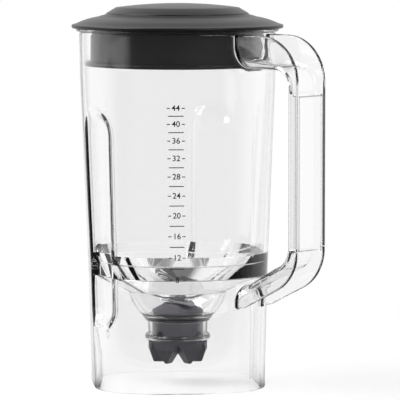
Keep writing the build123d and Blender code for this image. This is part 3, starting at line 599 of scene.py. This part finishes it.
# Each arm's root starts 3 mm inwards of X = 68, and the arms are told apart at a height of 150
ROOT_X, ROOT_BACK, BETWEEN_ARMS_Z = 68.0, 3.0, 150.0
# The least that is left flat beside a bend outside and inside, the least bends inside the channel, deep and shallow,
# and the least that its floor lies under its free edges
OUTER_FLAT, INNER_FLAT, DEEP_BEND, SHALLOW_BEND, FLOOR_GAP = 0.6, 0.8, 1.6, 0.3, 0.02


def quarter(steps, first=0):
    """Angles of a quarter turn, in even steps."""
    return [pi / 2 * step / steps for step in range(first, steps + 1)]


def handle_ring(sizes, finger, outer, half, bend, floor, swell=0.0):
    """One closed ring of the handle, between a point on its finger side and one on its outer side."""
    depth, along = (outer - finger).length, (outer - finger).normalized()
    edge, brink = sizes.free_edge, depth - sizes.free_edge
    half += swell
    bend = min(bend + swell, half - OUTER_FLAT)
    inside = half - sizes.web - 2 * swell
    floor = min(floor + swell, depth - FLOOR_GAP)
    inner_bend = max(min(bend - sizes.web, inside - INNER_FLAT), DEEP_BEND)
    inner_bend = min(inner_bend, max(brink - floor, SHALLOW_BEND))
    points = [(-swell, (half - bend) * step / 3) for step in range(3)]
    points += [(bend * (1 - cos(turn)) - swell, half - bend + bend * sin(turn)) for turn in quarter(8)]
    points += [(mix(bend - swell, brink, step / 4), half) for step in range(1, 4)]
    points += [(brink + edge * sin(turn), half - edge * (1 - cos(turn))) for turn in quarter(4)]
    points += [(min(brink + edge * cos(turn), depth), inside + edge * (1 - sin(turn))) for turn in quarter(4, 1)]
    points += [(mix(brink, floor + inner_bend, step / 4), inside) for step in range(1, 4)]
    points += [
        (floor + inner_bend * (1 - sin(turn)), inside - inner_bend * (1 - cos(turn))) for turn in quarter(8)
    ]
    points += [(floor, (inside - inner_bend) * step / 3) for step in (2, 1)]
    ring = [(a, -y) for a, y in reversed(points[1:])] + points + [(floor, 0.0)]
    return [Vector((finger.x + along.x * a, y, finger.y + along.y * a)) for a, y in ring]


def handle_path(sizes, slope):
    """Pairs of points on the finger side and the outer side, from the upper root to the lower one."""
    reach, bend, turned = sizes.outer_x, sizes.outer_bend, pi / 2 - slope
    top_in = Vector((sizes.finger_x - sizes.upper_bend, sizes.arm_z - sizes.upper_bend))
    top_out = Vector((reach - bend, sizes.top_z - bend))
    low_in = Vector((sizes.finger_x - sizes.lower_bend, sizes.low_z + sizes.lower_bend * tan(turned / 2)))
    heel_z = sizes.low_z - sizes.lower_depth + (reach - sizes.finger_x) * tan(slope)
    low_out = Vector((reach - bend, heel_z + bend * tan(turned / 2)))

    def straight(start, end, shares):
        return [Vector((mix(start[0], end[0], s), mix(start[1], end[1], s))) for s in shares]

    def round_bend(centre, radius, turns):
        return [centre + Vector((cos(turn), sin(turn))) * radius for turn in turns]

    def side(x, z, upper, upper_bend, lower, lower_bend):
        """One side: along the upper arm, round its bend, down the grip and round the lower bend."""
        return [
            *straight((ARM_START_X, z), (upper.x, z), [step / 15 for step in range(16)]),
            *round_bend(upper, upper_bend, [pi / 2 * (1 - step / 16) for step in range(1, 17)]),
            *straight((x, upper.y), (x, lower.y), [step / 60 for step in range(1, 60)]),
            *round_bend(lower, lower_bend, [-turned * step / 16 for step in range(17)]),
        ]

    fingers = side(sizes.finger_x, sizes.arm_z, top_in, sizes.upper_bend, low_in, sizes.lower_bend)
    outers = side(reach, sizes.top_z, top_out, bend, low_out, bend)
    finger, outer, down = fingers[-1], outers[-1], Vector((-1.0, -tan(slope)))
    for share in [step / 12 for step in range(1, 13)]:
        fingers.append(finger + down * (finger.x - ARM_END_X) * share)
        outers.append(outer + down * (outer.x - ARM_END_X) * share)
    return list(zip(fingers, outers))


def pocket_floor(sizes, spot, depth):
    """How deep the channel's floor lies under the finger side, at a height along the grip."""
    from_shelf = max(spot - sizes.upper_shelf_z, sizes.lower_shelf_z - spot)
    turn = sizes.pocket_round
    if from_shelf >= turn:
        return sizes.web
    if from_shelf <= 0:
        return depth
    return sizes.web + (turn - sqrt(turn**2 - (turn - from_shelf) ** 2))


def handle_rings(sizes, slope, container, flute, flute_turn):
    """All the handle's rings. The last few at each end follow the wall, and the very last lies inside it."""
    pairs = handle_path(sizes, slope)

    def station(finger, outer, swell=0.0):
        share = min(max(((finger.x + outer.x) / 2 - FLARE_END_X) / (FLARE_START_X - FLARE_END_X), 0.0), 1.0)
        upper = finger.y > BETWEEN_ARMS_Z
        half = mix(sizes.root_half if upper else sizes.half_width, sizes.half_width, share)
        bend = mix(sizes.upper_root_round if upper else sizes.lower_root_round, sizes.finger_round, share)
        floor = pocket_floor(sizes, (finger.y + outer.y) / 2, (outer - finger).length)
        return handle_ring(sizes, finger, outer, half, bend, floor, swell)

    def on_wall(ring, away):
        """Slides a ring along X so that it stands off the wall's outer face."""
        placed = []
        for point in ring:
            x = point.x
            for _ in range(5):
                r = wall_r(container, flute, flute_turn, atan2(point.y, x), point.z)
                x = sqrt(max(r * r - point.y**2, 1.0))
            placed.append(Vector((x + away, point.y, point.z)))
        return placed

    def root(finger, outer, fall):
        """Rings from inside the wall out through the fillet."""
        fillet, steps = sizes.root_fillet, []
        for away in (-container.wall / 2, 0.0, 0.25 * fillet, 0.55 * fillet, fillet, 1.35 * fillet):
            height = max(fillet - max(away, 0.0), 0.0)
            swell = fillet - sqrt(max(fillet**2 - height**2, 0.0)) if away < fillet else 0.0
            shift = Vector((away - ROOT_BACK, (away - ROOT_BACK) * fall))
            steps.append(on_wall(station(finger + shift, outer + shift, swell), away))
        return steps

    inwards = Vector((ROOT_X - ARM_END_X, (ROOT_X - ARM_END_X) * tan(slope)))
    return [
        *root(Vector((ROOT_X, sizes.arm_z)), Vector((ROOT_X, sizes.top_z)), 0.0),
        *[station(finger, outer) for finger, outer in pairs],
        *reversed(root(pairs[-1][0] + inwards, pairs[-1][1] + inwards, tan(slope))),
    ]


class JAR_OT_container(Operator):
    """Models the container: wall with flutes, funnel, bowl, collar, skirt and handle, in one moulding"""

    bl_idname = "jar.container"
    bl_label = "Container"

    def execute(self, context):
        scene = context.scene
        sizes, flute = in_millimetres(scene.jar_container), in_millimetres(scene.jar_flute)
        handle = in_millimetres(scene.jar_handle)
        flute_turn, slope = scene.jar_angles.flute_turn, scene.jar_angles.slope
        turns = container_turns(flute_turn)
        outlines = [container_outline(sizes, flute, flute_turn, turn) for turn in turns]
        rows = len(outlines[0])

        def wall_spot(column, row):
            r, z = outlines[column][row % rows]
            return r * cos(turns[column]), r * sin(turns[column]), z

        bm = wrap_grid(len(turns) - 1, rows, wall_spot)
        clean(bm)
        body = make_object("container_wall", bm)

        rings = handle_rings(handle, slope, sizes, flute, flute_turn)
        around = len(rings[0])
        bm = wrap_grid(around, len(rings) - 1, lambda column, row: rings[row][column % around])
        bmesh.ops.remove_doubles(bm, verts=bm.verts, dist=1e-4)
        bmesh.ops.holes_fill(bm, edges=[e for e in bm.edges if e.is_boundary], sides=0)
        bmesh.ops.triangulate(bm, faces=[f for f in bm.faces if len(f.verts) > 4])
        bmesh.ops.recalc_face_normals(bm, faces=bm.faces)
        arm = make_object("container_handle", bm)

        piece = joined("clear_container", body, arm, clear_moulded_polycarbonate(context))
        dress(smooth(piece), "jar", "clear_polycarbonate", "container")
        return {"FINISHED"}


# Finishes


def made_once(make):
    """Lets a function make its material only once, and gives it the material's name, its own, and the colours."""

    def finish(context):
        name = make.__name__
        return bpy.data.materials.get(name) or make(name, context.scene.jar_finishes)

    return finish


@made_once
def clear_moulded_polycarbonate(name, colours):
    """Injection-moulded polycarbonate: crystal clear, with a hard gloss, and a painted shade tint where it is seen
    along a wall.
    """
    finish, tree, shader = new_finish(name, Roughness=0.015, IOR=1.585, **{"Transmission Weight": 1.0})
    # Painted shade: a grey tint where the wall turns away stands in for the dark limb lines that reflections and
    # total internal reflection give; the longer path through the plastic adds only a little of it
    facing = add_node(tree, "ShaderNodeLayerWeight", {"Blend": 0.5})
    stops = [(0.0, tuple(colours.clear)), (0.68, tuple(colours.clear)), (0.96, tuple(colours.clear_edge))]
    ramp = add_node(tree, "ShaderNodeValToRGB", {"stops": stops}, {"Fac": facing.outputs["Facing"]})
    tree.links.new(ramp.outputs[0], shader.inputs["Base Color"])
    # Mould flow leaves waves of about 9 mm that only bend the reflections
    grain(tree, shader, 9.0, 0.012, detail=0.0)
    # Clear plastic lets the lamps through, so its shadow stays light
    light = add_node(tree, "ShaderNodeLightPath")
    open_way = add_node(tree, "ShaderNodeBsdfTransparent", {"Color": grey(0.9)})
    show(tree, mix_shaders(tree, light.outputs["Is Shadow Ray"], shader, open_way))
    return finish


def moulded(name, tint, roughness, ior, gloss, size, height, detail=2.0):
    """Moulded plastic or rubber: one colour under a fine bump, its size and height in millimetres."""
    look = {"Base Color": tuple(tint), "Specular IOR Level": gloss}
    finish, tree, shader = new_finish(name, Roughness=roughness, IOR=ior, **look)
    grain(tree, shader, size, height, detail=detail)
    return finish


@made_once
def black_moulded_rubber(name, colours):
    """Thermoplastic rubber: a soft satin black. A 0.5 mm mould texture only softens the gloss."""
    return moulded(name, colours.rubber, roughness=0.36, ior=1.52, gloss=0.3, size=0.5, height=0.003)


@made_once
def glass_filled_nylon(name, colours):
    """Glass-filled nylon: a dark purple-grey with fibres about 0.4 mm long that scatter the gloss."""
    return moulded(name, colours.nylon, roughness=0.42, ior=1.53, gloss=0.15, size=0.4, height=0.002)


@made_once
def black_moulded_acetal(name, colours):
    """Acetal: a dense, slightly waxy black. Sink marks of about 3 mm move its low sheen a little."""
    return moulded(name, colours.acetal, roughness=0.38, ior=1.48, gloss=0.15, size=3.0, height=0.004)


@made_once
def nitrile_rubber(name, colours):
    """Compression-moulded nitrile: matt black with a faint bloom."""
    return moulded(
        name, colours.seal, roughness=0.62, ior=1.52, gloss=0.5, size=0.3, height=0.008, detail=3.0
    )


def turned_metal(name, tint, roughness, pitch, height):
    """Metal off the lathe: fine rings round the axis that draw its highlight out."""
    finish, tree, shader = new_finish(name, Metallic=1.0, Roughness=roughness, **{"Base Color": tuple(tint)})
    place = add_node(tree, "ShaderNodeTexCoord")
    # The texture's wave turns by 20 radians a unit
    settings = {
        "wave_type": "RINGS",
        "rings_direction": "Z",
        "Scale": 1 / (pitch * MM) / 20,
        "Distortion": 0.6,
        "Detail": 2.0,
    }
    rings = add_node(tree, "ShaderNodeTexWave", settings, {"Vector": place.outputs["Object"]})
    raise_surface(tree, shader, rings.outputs["Fac"], height)
    return finish


@made_once
def turned_stainless(name, colours):
    """Turned stainless steel: a bright neutral grey with fine tool rings."""
    return turned_metal(name, colours.steel, 0.3, 0.3, 0.003)


@made_once
def ground_bearing_steel(name, colours):
    """Ground bearing steel: smoother and a little brighter than turned stainless."""
    return turned_metal(name, colours.steel, 0.16, 0.15, 0.001)


@made_once
def turned_brass(name, colours):
    """Free-cutting brass off the lathe: warm yellow with fine rings."""
    return turned_metal(name, colours.brass, 0.28, 0.3, 0.003)


@made_once
def ground_blade_steel(name, colours):
    """Blanked and belt-ground stainless strip: straight, fine lines along the blade."""
    look = {"Base Color": tuple(colours.blade)}
    finish, tree, shader = new_finish(name, Metallic=1.0, Roughness=0.26, **look)
    # A 120 grit belt leaves lines about 0.12 mm apart, stretched to 12 times their width
    grain(tree, shader, 0.12, 0.002, stretch=(0.08, 1.0, 1.0), detail=1.0)
    return finish


@made_once
def screen_ink(name, colours):
    """Screen-printed ink: a dull dark grey."""
    return new_finish(name, Roughness=0.5, **{"Base Color": tuple(colours.ink)})[0]


# The lid and its filler cap


def arc_between(start, end, height, steps=10):
    """Points of a shallow arc that bulges upwards by a height."""
    chord = Vector(end) - Vector(start)
    side = Vector((chord.y, -chord.x)).normalized()
    side = side if side.y > 0 else -side
    return [
        tuple(Vector(start) + chord * share + side * height * 4 * share * (1 - share)) + (0,)
        for share in (step / steps for step in range(1, steps))
    ]


class JAR_OT_lid(Operator):
    """Models the lid: a crowned flange, the seat for the cap, a skirt and its sealing lip"""

    bl_idname = "jar.lid"
    bl_label = "Lid"

    def execute(self, context):
        sizes = in_millimetres(context.scene.jar_lid)
        plateau, under, low = sizes.plateau_z, sizes.rim_z, sizes.skirt_z
        edge = under + sizes.rim_height
        sleeve_r, sleeve_z = sizes.sleeve_r, sizes.seat_z - 9.0
        skirt, skirt_in = sizes.skirt_r, sizes.skirt_r - sizes.skirt_wall
        roof = sizes.seat_z - sizes.top_thickness
        lip_r, lip = sizes.lip_r, 1.2
        outline = [
            (sleeve_r, sizes.seat_z, 0.4),
            (sizes.seat_r, sizes.seat_z, 0.3),
            (sizes.seat_r, plateau, 0.5),
            *arc_between((sizes.seat_r + 0.6, plateau - 0.05), (sizes.rim_r - 1.2, edge + 0.25), 0.9),
            (sizes.rim_r, edge, sizes.rim_round),
            (sizes.rim_r, under, sizes.rim_round),
            (skirt, under, 0.6),
            (skirt, low + lip + 0.4, 0.8),
            (lip_r, low + lip + 0.9, 0.5),
            (lip_r, low + 0.7, 0.5),
            (skirt, low, 1.2),
            (skirt_in, low, 0.7),
            (skirt_in, roof, 2.0),
            (sleeve_r + 2.2, roof, 2.0),
            (sleeve_r + 2.2, sleeve_z, 0.7),
            (sleeve_r, sleeve_z, 0.7),
        ]
        points = rounded(outline)
        piece = make_object("lid_moulding", lathe(points + points[:1]), black_moulded_rubber(context))
        dress(smooth(piece), "jar", "lid_rubber", "lid")
        return {"FINISHED"}


class JAR_OT_filler_cap(Operator):
    """Models the filler cap: a shallow dome with a soft shoulder over a plug"""

    bl_idname = "jar.filler_cap"
    bl_label = "Filler cap"

    def execute(self, context):
        sizes = in_millimetres(context.scene.jar_lid)
        top, cap_r, crown, thickness = sizes.cap_top_z, sizes.cap_r, 4.0, 2.2
        shoulder_r = cap_r - 0.8
        plug_r, plug_in, plug_z = 43.9, 41.7, sizes.seat_z - 11.0
        seat = sizes.seat_z + 0.05
        sphere = (shoulder_r**2 + crown**2) / (2 * crown)

        def dome(r, drop):
            return top - drop - sphere + sqrt(sphere**2 - r**2)

        steps = [6.0 * step for step in range(7)]
        outline = [(r, dome(r, 0.0), 0) for r in (*steps, 41.0)]
        outline += [
            (shoulder_r, top - crown, 3.4),
            (cap_r, sizes.plateau_z, 0.8),
            (cap_r, seat, 0.4),
            (plug_r, seat, 0.4),
            (plug_r, plug_z, 0.7),
            (plug_in, plug_z, 0.7),
            (plug_in, dome(plug_in, thickness), 2.0),
        ]
        outline += [(r, dome(r, thickness), 0) for r in reversed(steps)]
        piece = make_object("cap_moulding", lathe(rounded(outline)), black_moulded_rubber(context))
        dress(smooth(piece), "jar", "lid_rubber", "filler_cap")
        return {"FINISHED"}


# The cutter assembly


class JAR_OT_cutter(Operator):
    """Eases the edges of the cutter's visible parts, and gives every part of the cutter its finish"""

    bl_idname = "jar.cutter"
    bl_label = "Cutter assembly"

    def execute(self, context):
        nylon = glass_filled_nylon(context)
        stainless, blade = turned_stainless(context), ground_blade_steel(context)
        for node, body, slot, finish, ease in (
            ("bearing_housing", "jar", "housing_plastic", nylon, 0.35),
            ("retaining_nut", "jar", "housing_plastic", nylon, 0.4),
            ("lower_slinger", "cutter", "stainless_steel", stainless, 0.2),
            ("upper_blade", "cutter", "blade_steel", blade, 0.12),
            ("lower_blade", "cutter", "blade_steel", blade, 0.12),
            ("blade_spacer", "cutter", "stainless_steel", stainless, 0.2),
            ("blade_lock_washer", "cutter", "stainless_steel", stainless, 0.15),
            ("blade_nut", "cutter", "stainless_steel", stainless, 0.3),
        ):
            dress(eased_copy(node + "_eased", node, finish, ease), body, slot, node)
        bearing, seal = ground_bearing_steel(context), nitrile_rubber(context)
        for finish, nodes in (
            (stainless, ("thrust_washer", "retaining_washer")),
            (seal, ("housing_gasket", "shaft_seal")),
            (bearing, ("bearing_circlip",)),
            (bearing, ("upper_bearing_outer_race", "upper_bearing_inner_race", "upper_bearing_balls")),
            (bearing, ("lower_bearing_outer_race", "lower_bearing_inner_race", "lower_bearing_balls")),
        ):
            for node in nodes:
                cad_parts[node].material_slots[0].material = finish
        return {"FINISHED"}


TEETH = 6
INSERT_R, SHAFT_R, THREAD_R = 6.35, 4.0, 3.0


class JAR_OT_coupling(Operator):
    """Models the drive coupling: a cup with narrow radial teeth, its metal insert and the shaft"""

    bl_idname = "jar.coupling"
    bl_label = "Drive coupling"

    def execute(self, context):
        sizes = in_millimetres(context.scene.jar_coupling)
        low, top, recess = sizes.low_z, sizes.top_z, sizes.recess_z
        cup = [
            (0.0, top, 0),
            (sizes.outer_r, top, 0.5),
            (sizes.outer_r, sizes.band_z, 0.6),
            (sizes.tip_r, low, 0.4),
            (sizes.tip_in_r, low, 0.4),
            (sizes.tip_in_r, recess, 0.8),
            (0.0, recess, 0),
        ]
        body = make_object("cup", lathe(rounded(cup)))
        # Each gullet is the space between two gabled teeth: a wedge that narrows inwards and upwards
        reach, under = 25.0, low - 1.0
        near = 2 * (sizes.tip_half - (low - under) * sizes.flank)
        side = (reach - near) * tan(pi / TEETH)
        apex_z = low + (reach / 2 - sizes.tip_half) / sizes.flank
        gullets = bmesh.new()
        for tooth in range(TEETH):
            way = context.scene.jar_angles.coupling_turn + tooth * 2 * pi / TEETH
            corners = [(near, 0.0, under), (reach, side, under), (reach, -side, under), (reach, 0.0, apex_z)]
            verts = [
                gullets.verts.new((x * cos(way) - y * sin(way), x * sin(way) + y * cos(way), z))
                for x, y, z in corners
            ]
            bmesh.ops.convex_hull(gullets, input=verts)
        bmesh.ops.recalc_face_normals(gullets, faces=gullets.faces)
        wedges = make_object("gullets", gullets)
        piece = joined("coupling_moulding", body, wedges, black_moulded_acetal(context), "DIFFERENCE")
        ease_edges(piece, 0.2)
        dress(smooth(piece), "cutter", "coupling_plastic", "drive_coupling")

        bm, foot = bmesh.new(), recess - 0.6
        bmesh.ops.create_cone(
            bm, cap_ends=True, segments=6, radius1=INSERT_R, radius2=INSERT_R, depth=top - foot
        )
        bmesh.ops.translate(bm, vec=(0.0, 0.0, (top + foot) / 2), verts=bm.verts)
        bmesh.ops.bevel(
            bm, geom=bm.edges[:], offset=0.3, segments=2, profile=0.5, affect="EDGES", material=-1
        )
        piece = make_object("insert_hexagon", bm, turned_brass(context))
        dress(smooth(piece), "cutter", "insert_brass", "coupling_insert")

        foot, shoulder, end = recess - 1.0, 56.0, 65.8
        shaft = [
            (0.0, foot, 0),
            (SHAFT_R, foot, 0.5),
            (SHAFT_R, shoulder, 0.5),
            (THREAD_R, shoulder, 0),
            (THREAD_R, end, 0.4),
            (0.0, end, 0),
        ]
        piece = make_object("shaft_turned", lathe(rounded(shaft)), turned_stainless(context))
        dress(smooth(piece), "cutter", "stainless_steel", "drive_shaft")
        return {"FINISHED"}


# The printed scale

# The highest numeral and the step between two of them, the first gap between them and how fast the gaps grow
TOP_READING, READING_STEP, FIRST_GAP, GAP_GROWTH = 44, 4, 10.14, 0.264
# A numeral takes up this share of its type size, and a mark bends round a wall of this radius
DIGIT_SHARE, PRINT_R = 0.72, 62.0


def text_mesh(text, height, weight, ink):
    """Numerals as a bmesh in the XY plane, centred, with the thickness of the ink."""
    curve = bpy.data.curves.new("scale_text", "FONT")
    curve.body = text
    curve.size = height / DIGIT_SHARE
    curve.align_x, curve.align_y = "CENTER", "CENTER"
    curve.extrude = ink / 2
    curve.offset = weight
    curve.resolution_u = 4
    holder = bpy.data.objects.new("scale_text", curve)
    bpy.context.scene.collection.objects.link(holder)
    bpy.context.view_layer.update()
    mesh = bpy.data.meshes.new_from_object(holder)
    bpy.data.objects.remove(holder)
    bpy.data.curves.remove(curve)
    bm = bmesh.new()
    bm.from_mesh(mesh)
    bpy.data.meshes.remove(mesh)
    return bm


class JAR_OT_graduation(Operator):
    """Prints the scale on the wall: numerals with dashes, and marks between them"""

    bl_idname = "jar.graduation"
    bl_label = "Graduation"

    def execute(self, context):
        scene = context.scene
        sizes, flute = in_millimetres(scene.jar_container), in_millimetres(scene.jar_flute)
        marks, angles = in_millimetres(scene.jar_graduation), scene.jar_angles
        scale = bmesh.new()

        def lay_on_wall(bm, z_middle):
            """Bends what lies flat round the wall, at a height, and adds it to the scale."""
            turn_middle = angles.scale_turn + angles.scale_lean * (z_middle / marks.top_z)
            for vert in bm.verts:
                across, up, out = vert.co
                turn, z = turn_middle + across / PRINT_R, z_middle + up
                r = wall_r(sizes, flute, angles.flute_turn, turn, z) + out + marks.ink / 2 + 0.01
                vert.co = (r * cos(turn), r * sin(turn), z)
            mesh = bpy.data.meshes.new("scale_mark")
            bm.to_mesh(mesh)
            bm.free()
            scale.from_mesh(mesh)
            bpy.data.meshes.remove(mesh)

        def bar(width, z_middle, shift=0.0):
            bm = bmesh.new()
            bmesh.ops.create_cube(bm, size=1.0)
            bmesh.ops.scale(bm, vec=(width, marks.stroke, marks.ink), verts=bm.verts)
            bmesh.ops.translate(bm, vec=(shift, 0.0, 0.0), verts=bm.verts)
            for cut in range(1, 8):
                spot = (shift + width * (cut / 8 - 0.5), 0.0, 0.0)
                geom = bm.verts[:] + bm.edges[:] + bm.faces[:]
                bmesh.ops.bisect_plane(bm, geom=geom, plane_co=spot, plane_no=(1.0, 0.0, 0.0))
            lay_on_wall(bm, z_middle)

        def height(step):
            return marks.top_z - FIRST_GAP * step - GAP_GROWTH * step**2

        readings = range(TOP_READING, READING_STEP, -READING_STEP)
        for step, reading in enumerate(readings):
            text = text_mesh(str(reading), marks.digit_height, marks.digit_weight, marks.ink)
            lay_on_wall(text, height(step))
            for side in (-1, 1):
                bar(marks.dash_length, height(step), side * marks.dash_reach)
            if step < len(readings) - 1:
                bar(marks.tick_length, height(step + 0.5))
        piece = make_object("printed_scale", scale, screen_ink(context))
        dress(piece, "jar", "clear_polycarbonate")
        return {"FINISHED"}


# The stage


BEHIND, BESIDE = (-0.64, 0.77, 0.0), (-0.66, -0.75, 0.0)
COVE_LEVELS = ((-0.35, 0.13), (0.25, 0.9), (1.0, 1.0))
WINDOW_LEVELS = ((0.88, 0.0), (0.96, 0.9), (1.0, 0.9))
OVERHEAD_LEVELS = ((0.0, 1.0), (0.42, 1.0), (0.75, 0.55), (1.0, 0.35))
JAR_MIDDLE = (0.0, 0.0, 0.12)


def aimed(name, data, spot, target):
    """A lamp or a camera at a spot, facing a target."""
    holder = bpy.data.objects.new(name, data)
    bpy.context.scene.collection.objects.link(holder)
    holder.location = spot
    holder.rotation_euler = (Vector(target) - Vector(spot)).to_track_quat("-Z", "Y").to_euler()
    return holder


def soft_lamp(name, spot, size, power):
    """A square area lamp that faces the jar's middle."""
    lamp = bpy.data.lights.new(name, "AREA")
    lamp.energy, lamp.size = power, size
    aimed(name, lamp, spot, JAR_MIDDLE)


def maths(tree, operation, first, second):
    """The socket with the result of an operation on two sockets."""
    return add_node(tree, "ShaderNodeMath", {"operation": operation}, {0: first, 1: second}).outputs[0]


def level_ramp(tree, levels, value):
    """The socket of a ramp through pairs of (value, grey level)."""
    stops = [(spot, grey(level)) for spot, level in levels]
    return add_node(tree, "ShaderNodeValToRGB", {"stops": stops}, {"Fac": value}).outputs[0]


def level_towards(tree, direction, way, levels):
    """Brightness by how nearly a direction points one way: pairs of (cosine, level)."""
    near = add_node(tree, "ShaderNodeVectorMath", {"operation": "DOT_PRODUCT", 1: way}, {0: direction})
    settings = {"operation": "MULTIPLY_ADD", 1: 0.5, 2: 0.5}
    half = add_node(tree, "ShaderNodeMath", settings, {0: near.outputs["Value"]})
    return level_ramp(tree, [((cosine + 1) / 2, level) for cosine, level in levels], half.outputs[0])


def plain_white_surroundings(ambient):
    """White all round at eye level and darker overhead, as in a studio with a white cove."""
    world = bpy.data.worlds.new("white_cove")
    bpy.context.scene.world = world
    world.use_nodes = True
    tree = world.node_tree
    tree.nodes.clear()

    def backdrop(strength=1.0, **links):
        return add_node(tree, "ShaderNodeBackground", {"Strength": strength, "Color": grey(1.0)}, links)

    direction = add_node(tree, "ShaderNodeTexCoord").outputs["Generated"]
    split = add_node(tree, "ShaderNodeSeparateXYZ", links={0: direction})
    through = backdrop(Color=level_ramp(tree, OVERHEAD_LEVELS, split.outputs["Z"]))
    # Gloss shows the white cove behind the jar, the dim room in front of it, and one tall window beside it
    behind = level_towards(tree, direction, BEHIND, COVE_LEVELS)
    window = level_towards(tree, direction, BESIDE, WINDOW_LEVELS)
    mirrored = backdrop(Color=maths(tree, "MAXIMUM", behind, window))
    plain, lit = backdrop(), backdrop(ambient)
    light = add_node(tree, "ShaderNodeLightPath").outputs
    # A ray that a surface turned back inside the clear wall shows the room in front, not the white cove
    turned = mix_shaders(tree, light["Glossy Depth"], through, mirrored)
    turned = mix_shaders(tree, light["Diffuse Depth"], turned, lit)
    last = lit
    for ray, view in (("Is Glossy Ray", mirrored), ("Is Transmission Ray", turned), ("Is Camera Ray", plain)):
        last = mix_shaders(tree, light[ray], last, view)
    add_node(tree, "ShaderNodeOutputWorld", links={"Surface": last.outputs[0]})


def pale_floor_sheet():
    """Matt white vinyl, which shows as the white background and keeps the jar's shadow."""
    look = {"Base Color": grey(0.86), "Specular IOR Level": 0.1}
    finish, tree, shader = new_finish("pale_floor_sheet", Roughness=0.9, **look)
    light = add_node(tree, "ShaderNodeLightPath").outputs
    seen = maths(tree, "MAXIMUM", light["Is Camera Ray"], light["Is Glossy Ray"])
    seen = maths(tree, "MAXIMUM", seen, light["Is Transmission Ray"])
    spot = {0: add_node(tree, "ShaderNodeTexCoord").outputs["Object"]}
    away = add_node(tree, "ShaderNodeVectorMath", {"operation": "LENGTH"}, spot)
    outwards = add_node(tree, "ShaderNodeVectorMath", {"operation": "NORMALIZE"}, spot)
    # The sheet curves up into the white cove from 0.12 m to 0.6 m away, so its tone runs into the background's
    reach = {"From Min": 0.12, "From Max": 0.6, "To Min": 0.5, "To Max": 1.0}
    cove = add_node(tree, "ShaderNodeMapRange", reach, {"Value": away.outputs["Value"]})
    glow = add_node(tree, "ShaderNodeEmission", {"Strength": 1.0, "Color": grey(1.0)})
    blend = mix_shaders(tree, maths(tree, "MULTIPLY", seen, cove.outputs["Result"]), shader, glow)
    # In reflections the sheet carries on the surroundings: white behind the jar and dim in front of it
    level = level_towards(tree, outwards.outputs["Vector"], BEHIND, COVE_LEVELS)
    mirrored = add_node(tree, "ShaderNodeEmission", {"Strength": 1.0}, {"Color": level})
    show(tree, mix_shaders(tree, light["Glossy Depth"], blend, mirrored))
    return finish


class JAR_OT_stage(Operator):
    """Sets the floor, the lamps, the surroundings and the camera"""

    bl_idname = "jar.stage"
    bl_label = "Stage"

    def execute(self, context):
        scene, stage = context.scene, context.scene.jar_stage
        bm = bmesh.new()
        bmesh.ops.create_grid(bm, x_segments=1, y_segments=1, size=4000.0)
        floor = make_object("floor", bm, pale_floor_sheet())
        soft_lamp("key_lamp", (-0.9, -0.8, 1.5), 1.1, stage.key)
        soft_lamp("fill_lamp", (1.3, -0.2, 1.0), 0.9, stage.fill)
        plain_white_surroundings(stage.ambient)
        camera = bpy.data.cameras.new("camera")
        camera.sensor_width, camera.lens = 36.0, stage.focal
        scene.camera = aimed("camera", camera, stage.camera_spot, stage.camera_target)
        scene.view_settings.view_transform = "Standard"
        return {"FINISHED"}


# The panel and the run


STEPS = (
    JAR_OT_container,
    JAR_OT_lid,
    JAR_OT_filler_cap,
    JAR_OT_cutter,
    JAR_OT_coupling,
    JAR_OT_graduation,
    JAR_OT_stage,
)
GROUPS = {
    "jar_container": ContainerSizes,
    "jar_flute": FluteSizes,
    "jar_handle": HandleSizes,
    "jar_angles": JarAngles,
    "jar_lid": LidSizes,
    "jar_coupling": CouplingSizes,
    "jar_graduation": GraduationSizes,
    "jar_finishes": Finishes,
    "jar_stage": StageSettings,
}


class JAR_PT_panel(Panel):
    """Lists the jar's steps and sizes"""

    bl_label = "Blender Jar"
    bl_idname = "JAR_PT_panel"
    bl_space_type = "VIEW_3D"
    bl_region_type = "UI"
    bl_category = "Blender Jar"

    def draw(self, context):
        for step in STEPS:
            self.layout.operator(step.bl_idname)
        for name, group in GROUPS.items():
            box = self.layout.box()
            for setting in group.__annotations__:
                box.prop(getattr(context.scene, name), setting)


def register():
    for name, group in GROUPS.items():
        bpy.utils.register_class(group)
        setattr(bpy.types.Scene, name, PointerProperty(type=group))
    for item in (*STEPS, JAR_PT_panel):
        bpy.utils.register_class(item)


def unregister():
    for item in (JAR_PT_panel, *reversed(STEPS)):
        bpy.utils.unregister_class(item)
    for name, group in reversed(GROUPS.items()):
        delattr(bpy.types.Scene, name)
        bpy.utils.unregister_class(group)


def main():
    register()
    bpy.ops.jar.container()
    bpy.ops.jar.lid()
    bpy.ops.jar.filler_cap()
    bpy.ops.jar.cutter()
    bpy.ops.jar.coupling()
    bpy.ops.jar.graduation()
    bpy.ops.jar.stage()


if __name__ == "__main__":
    main()
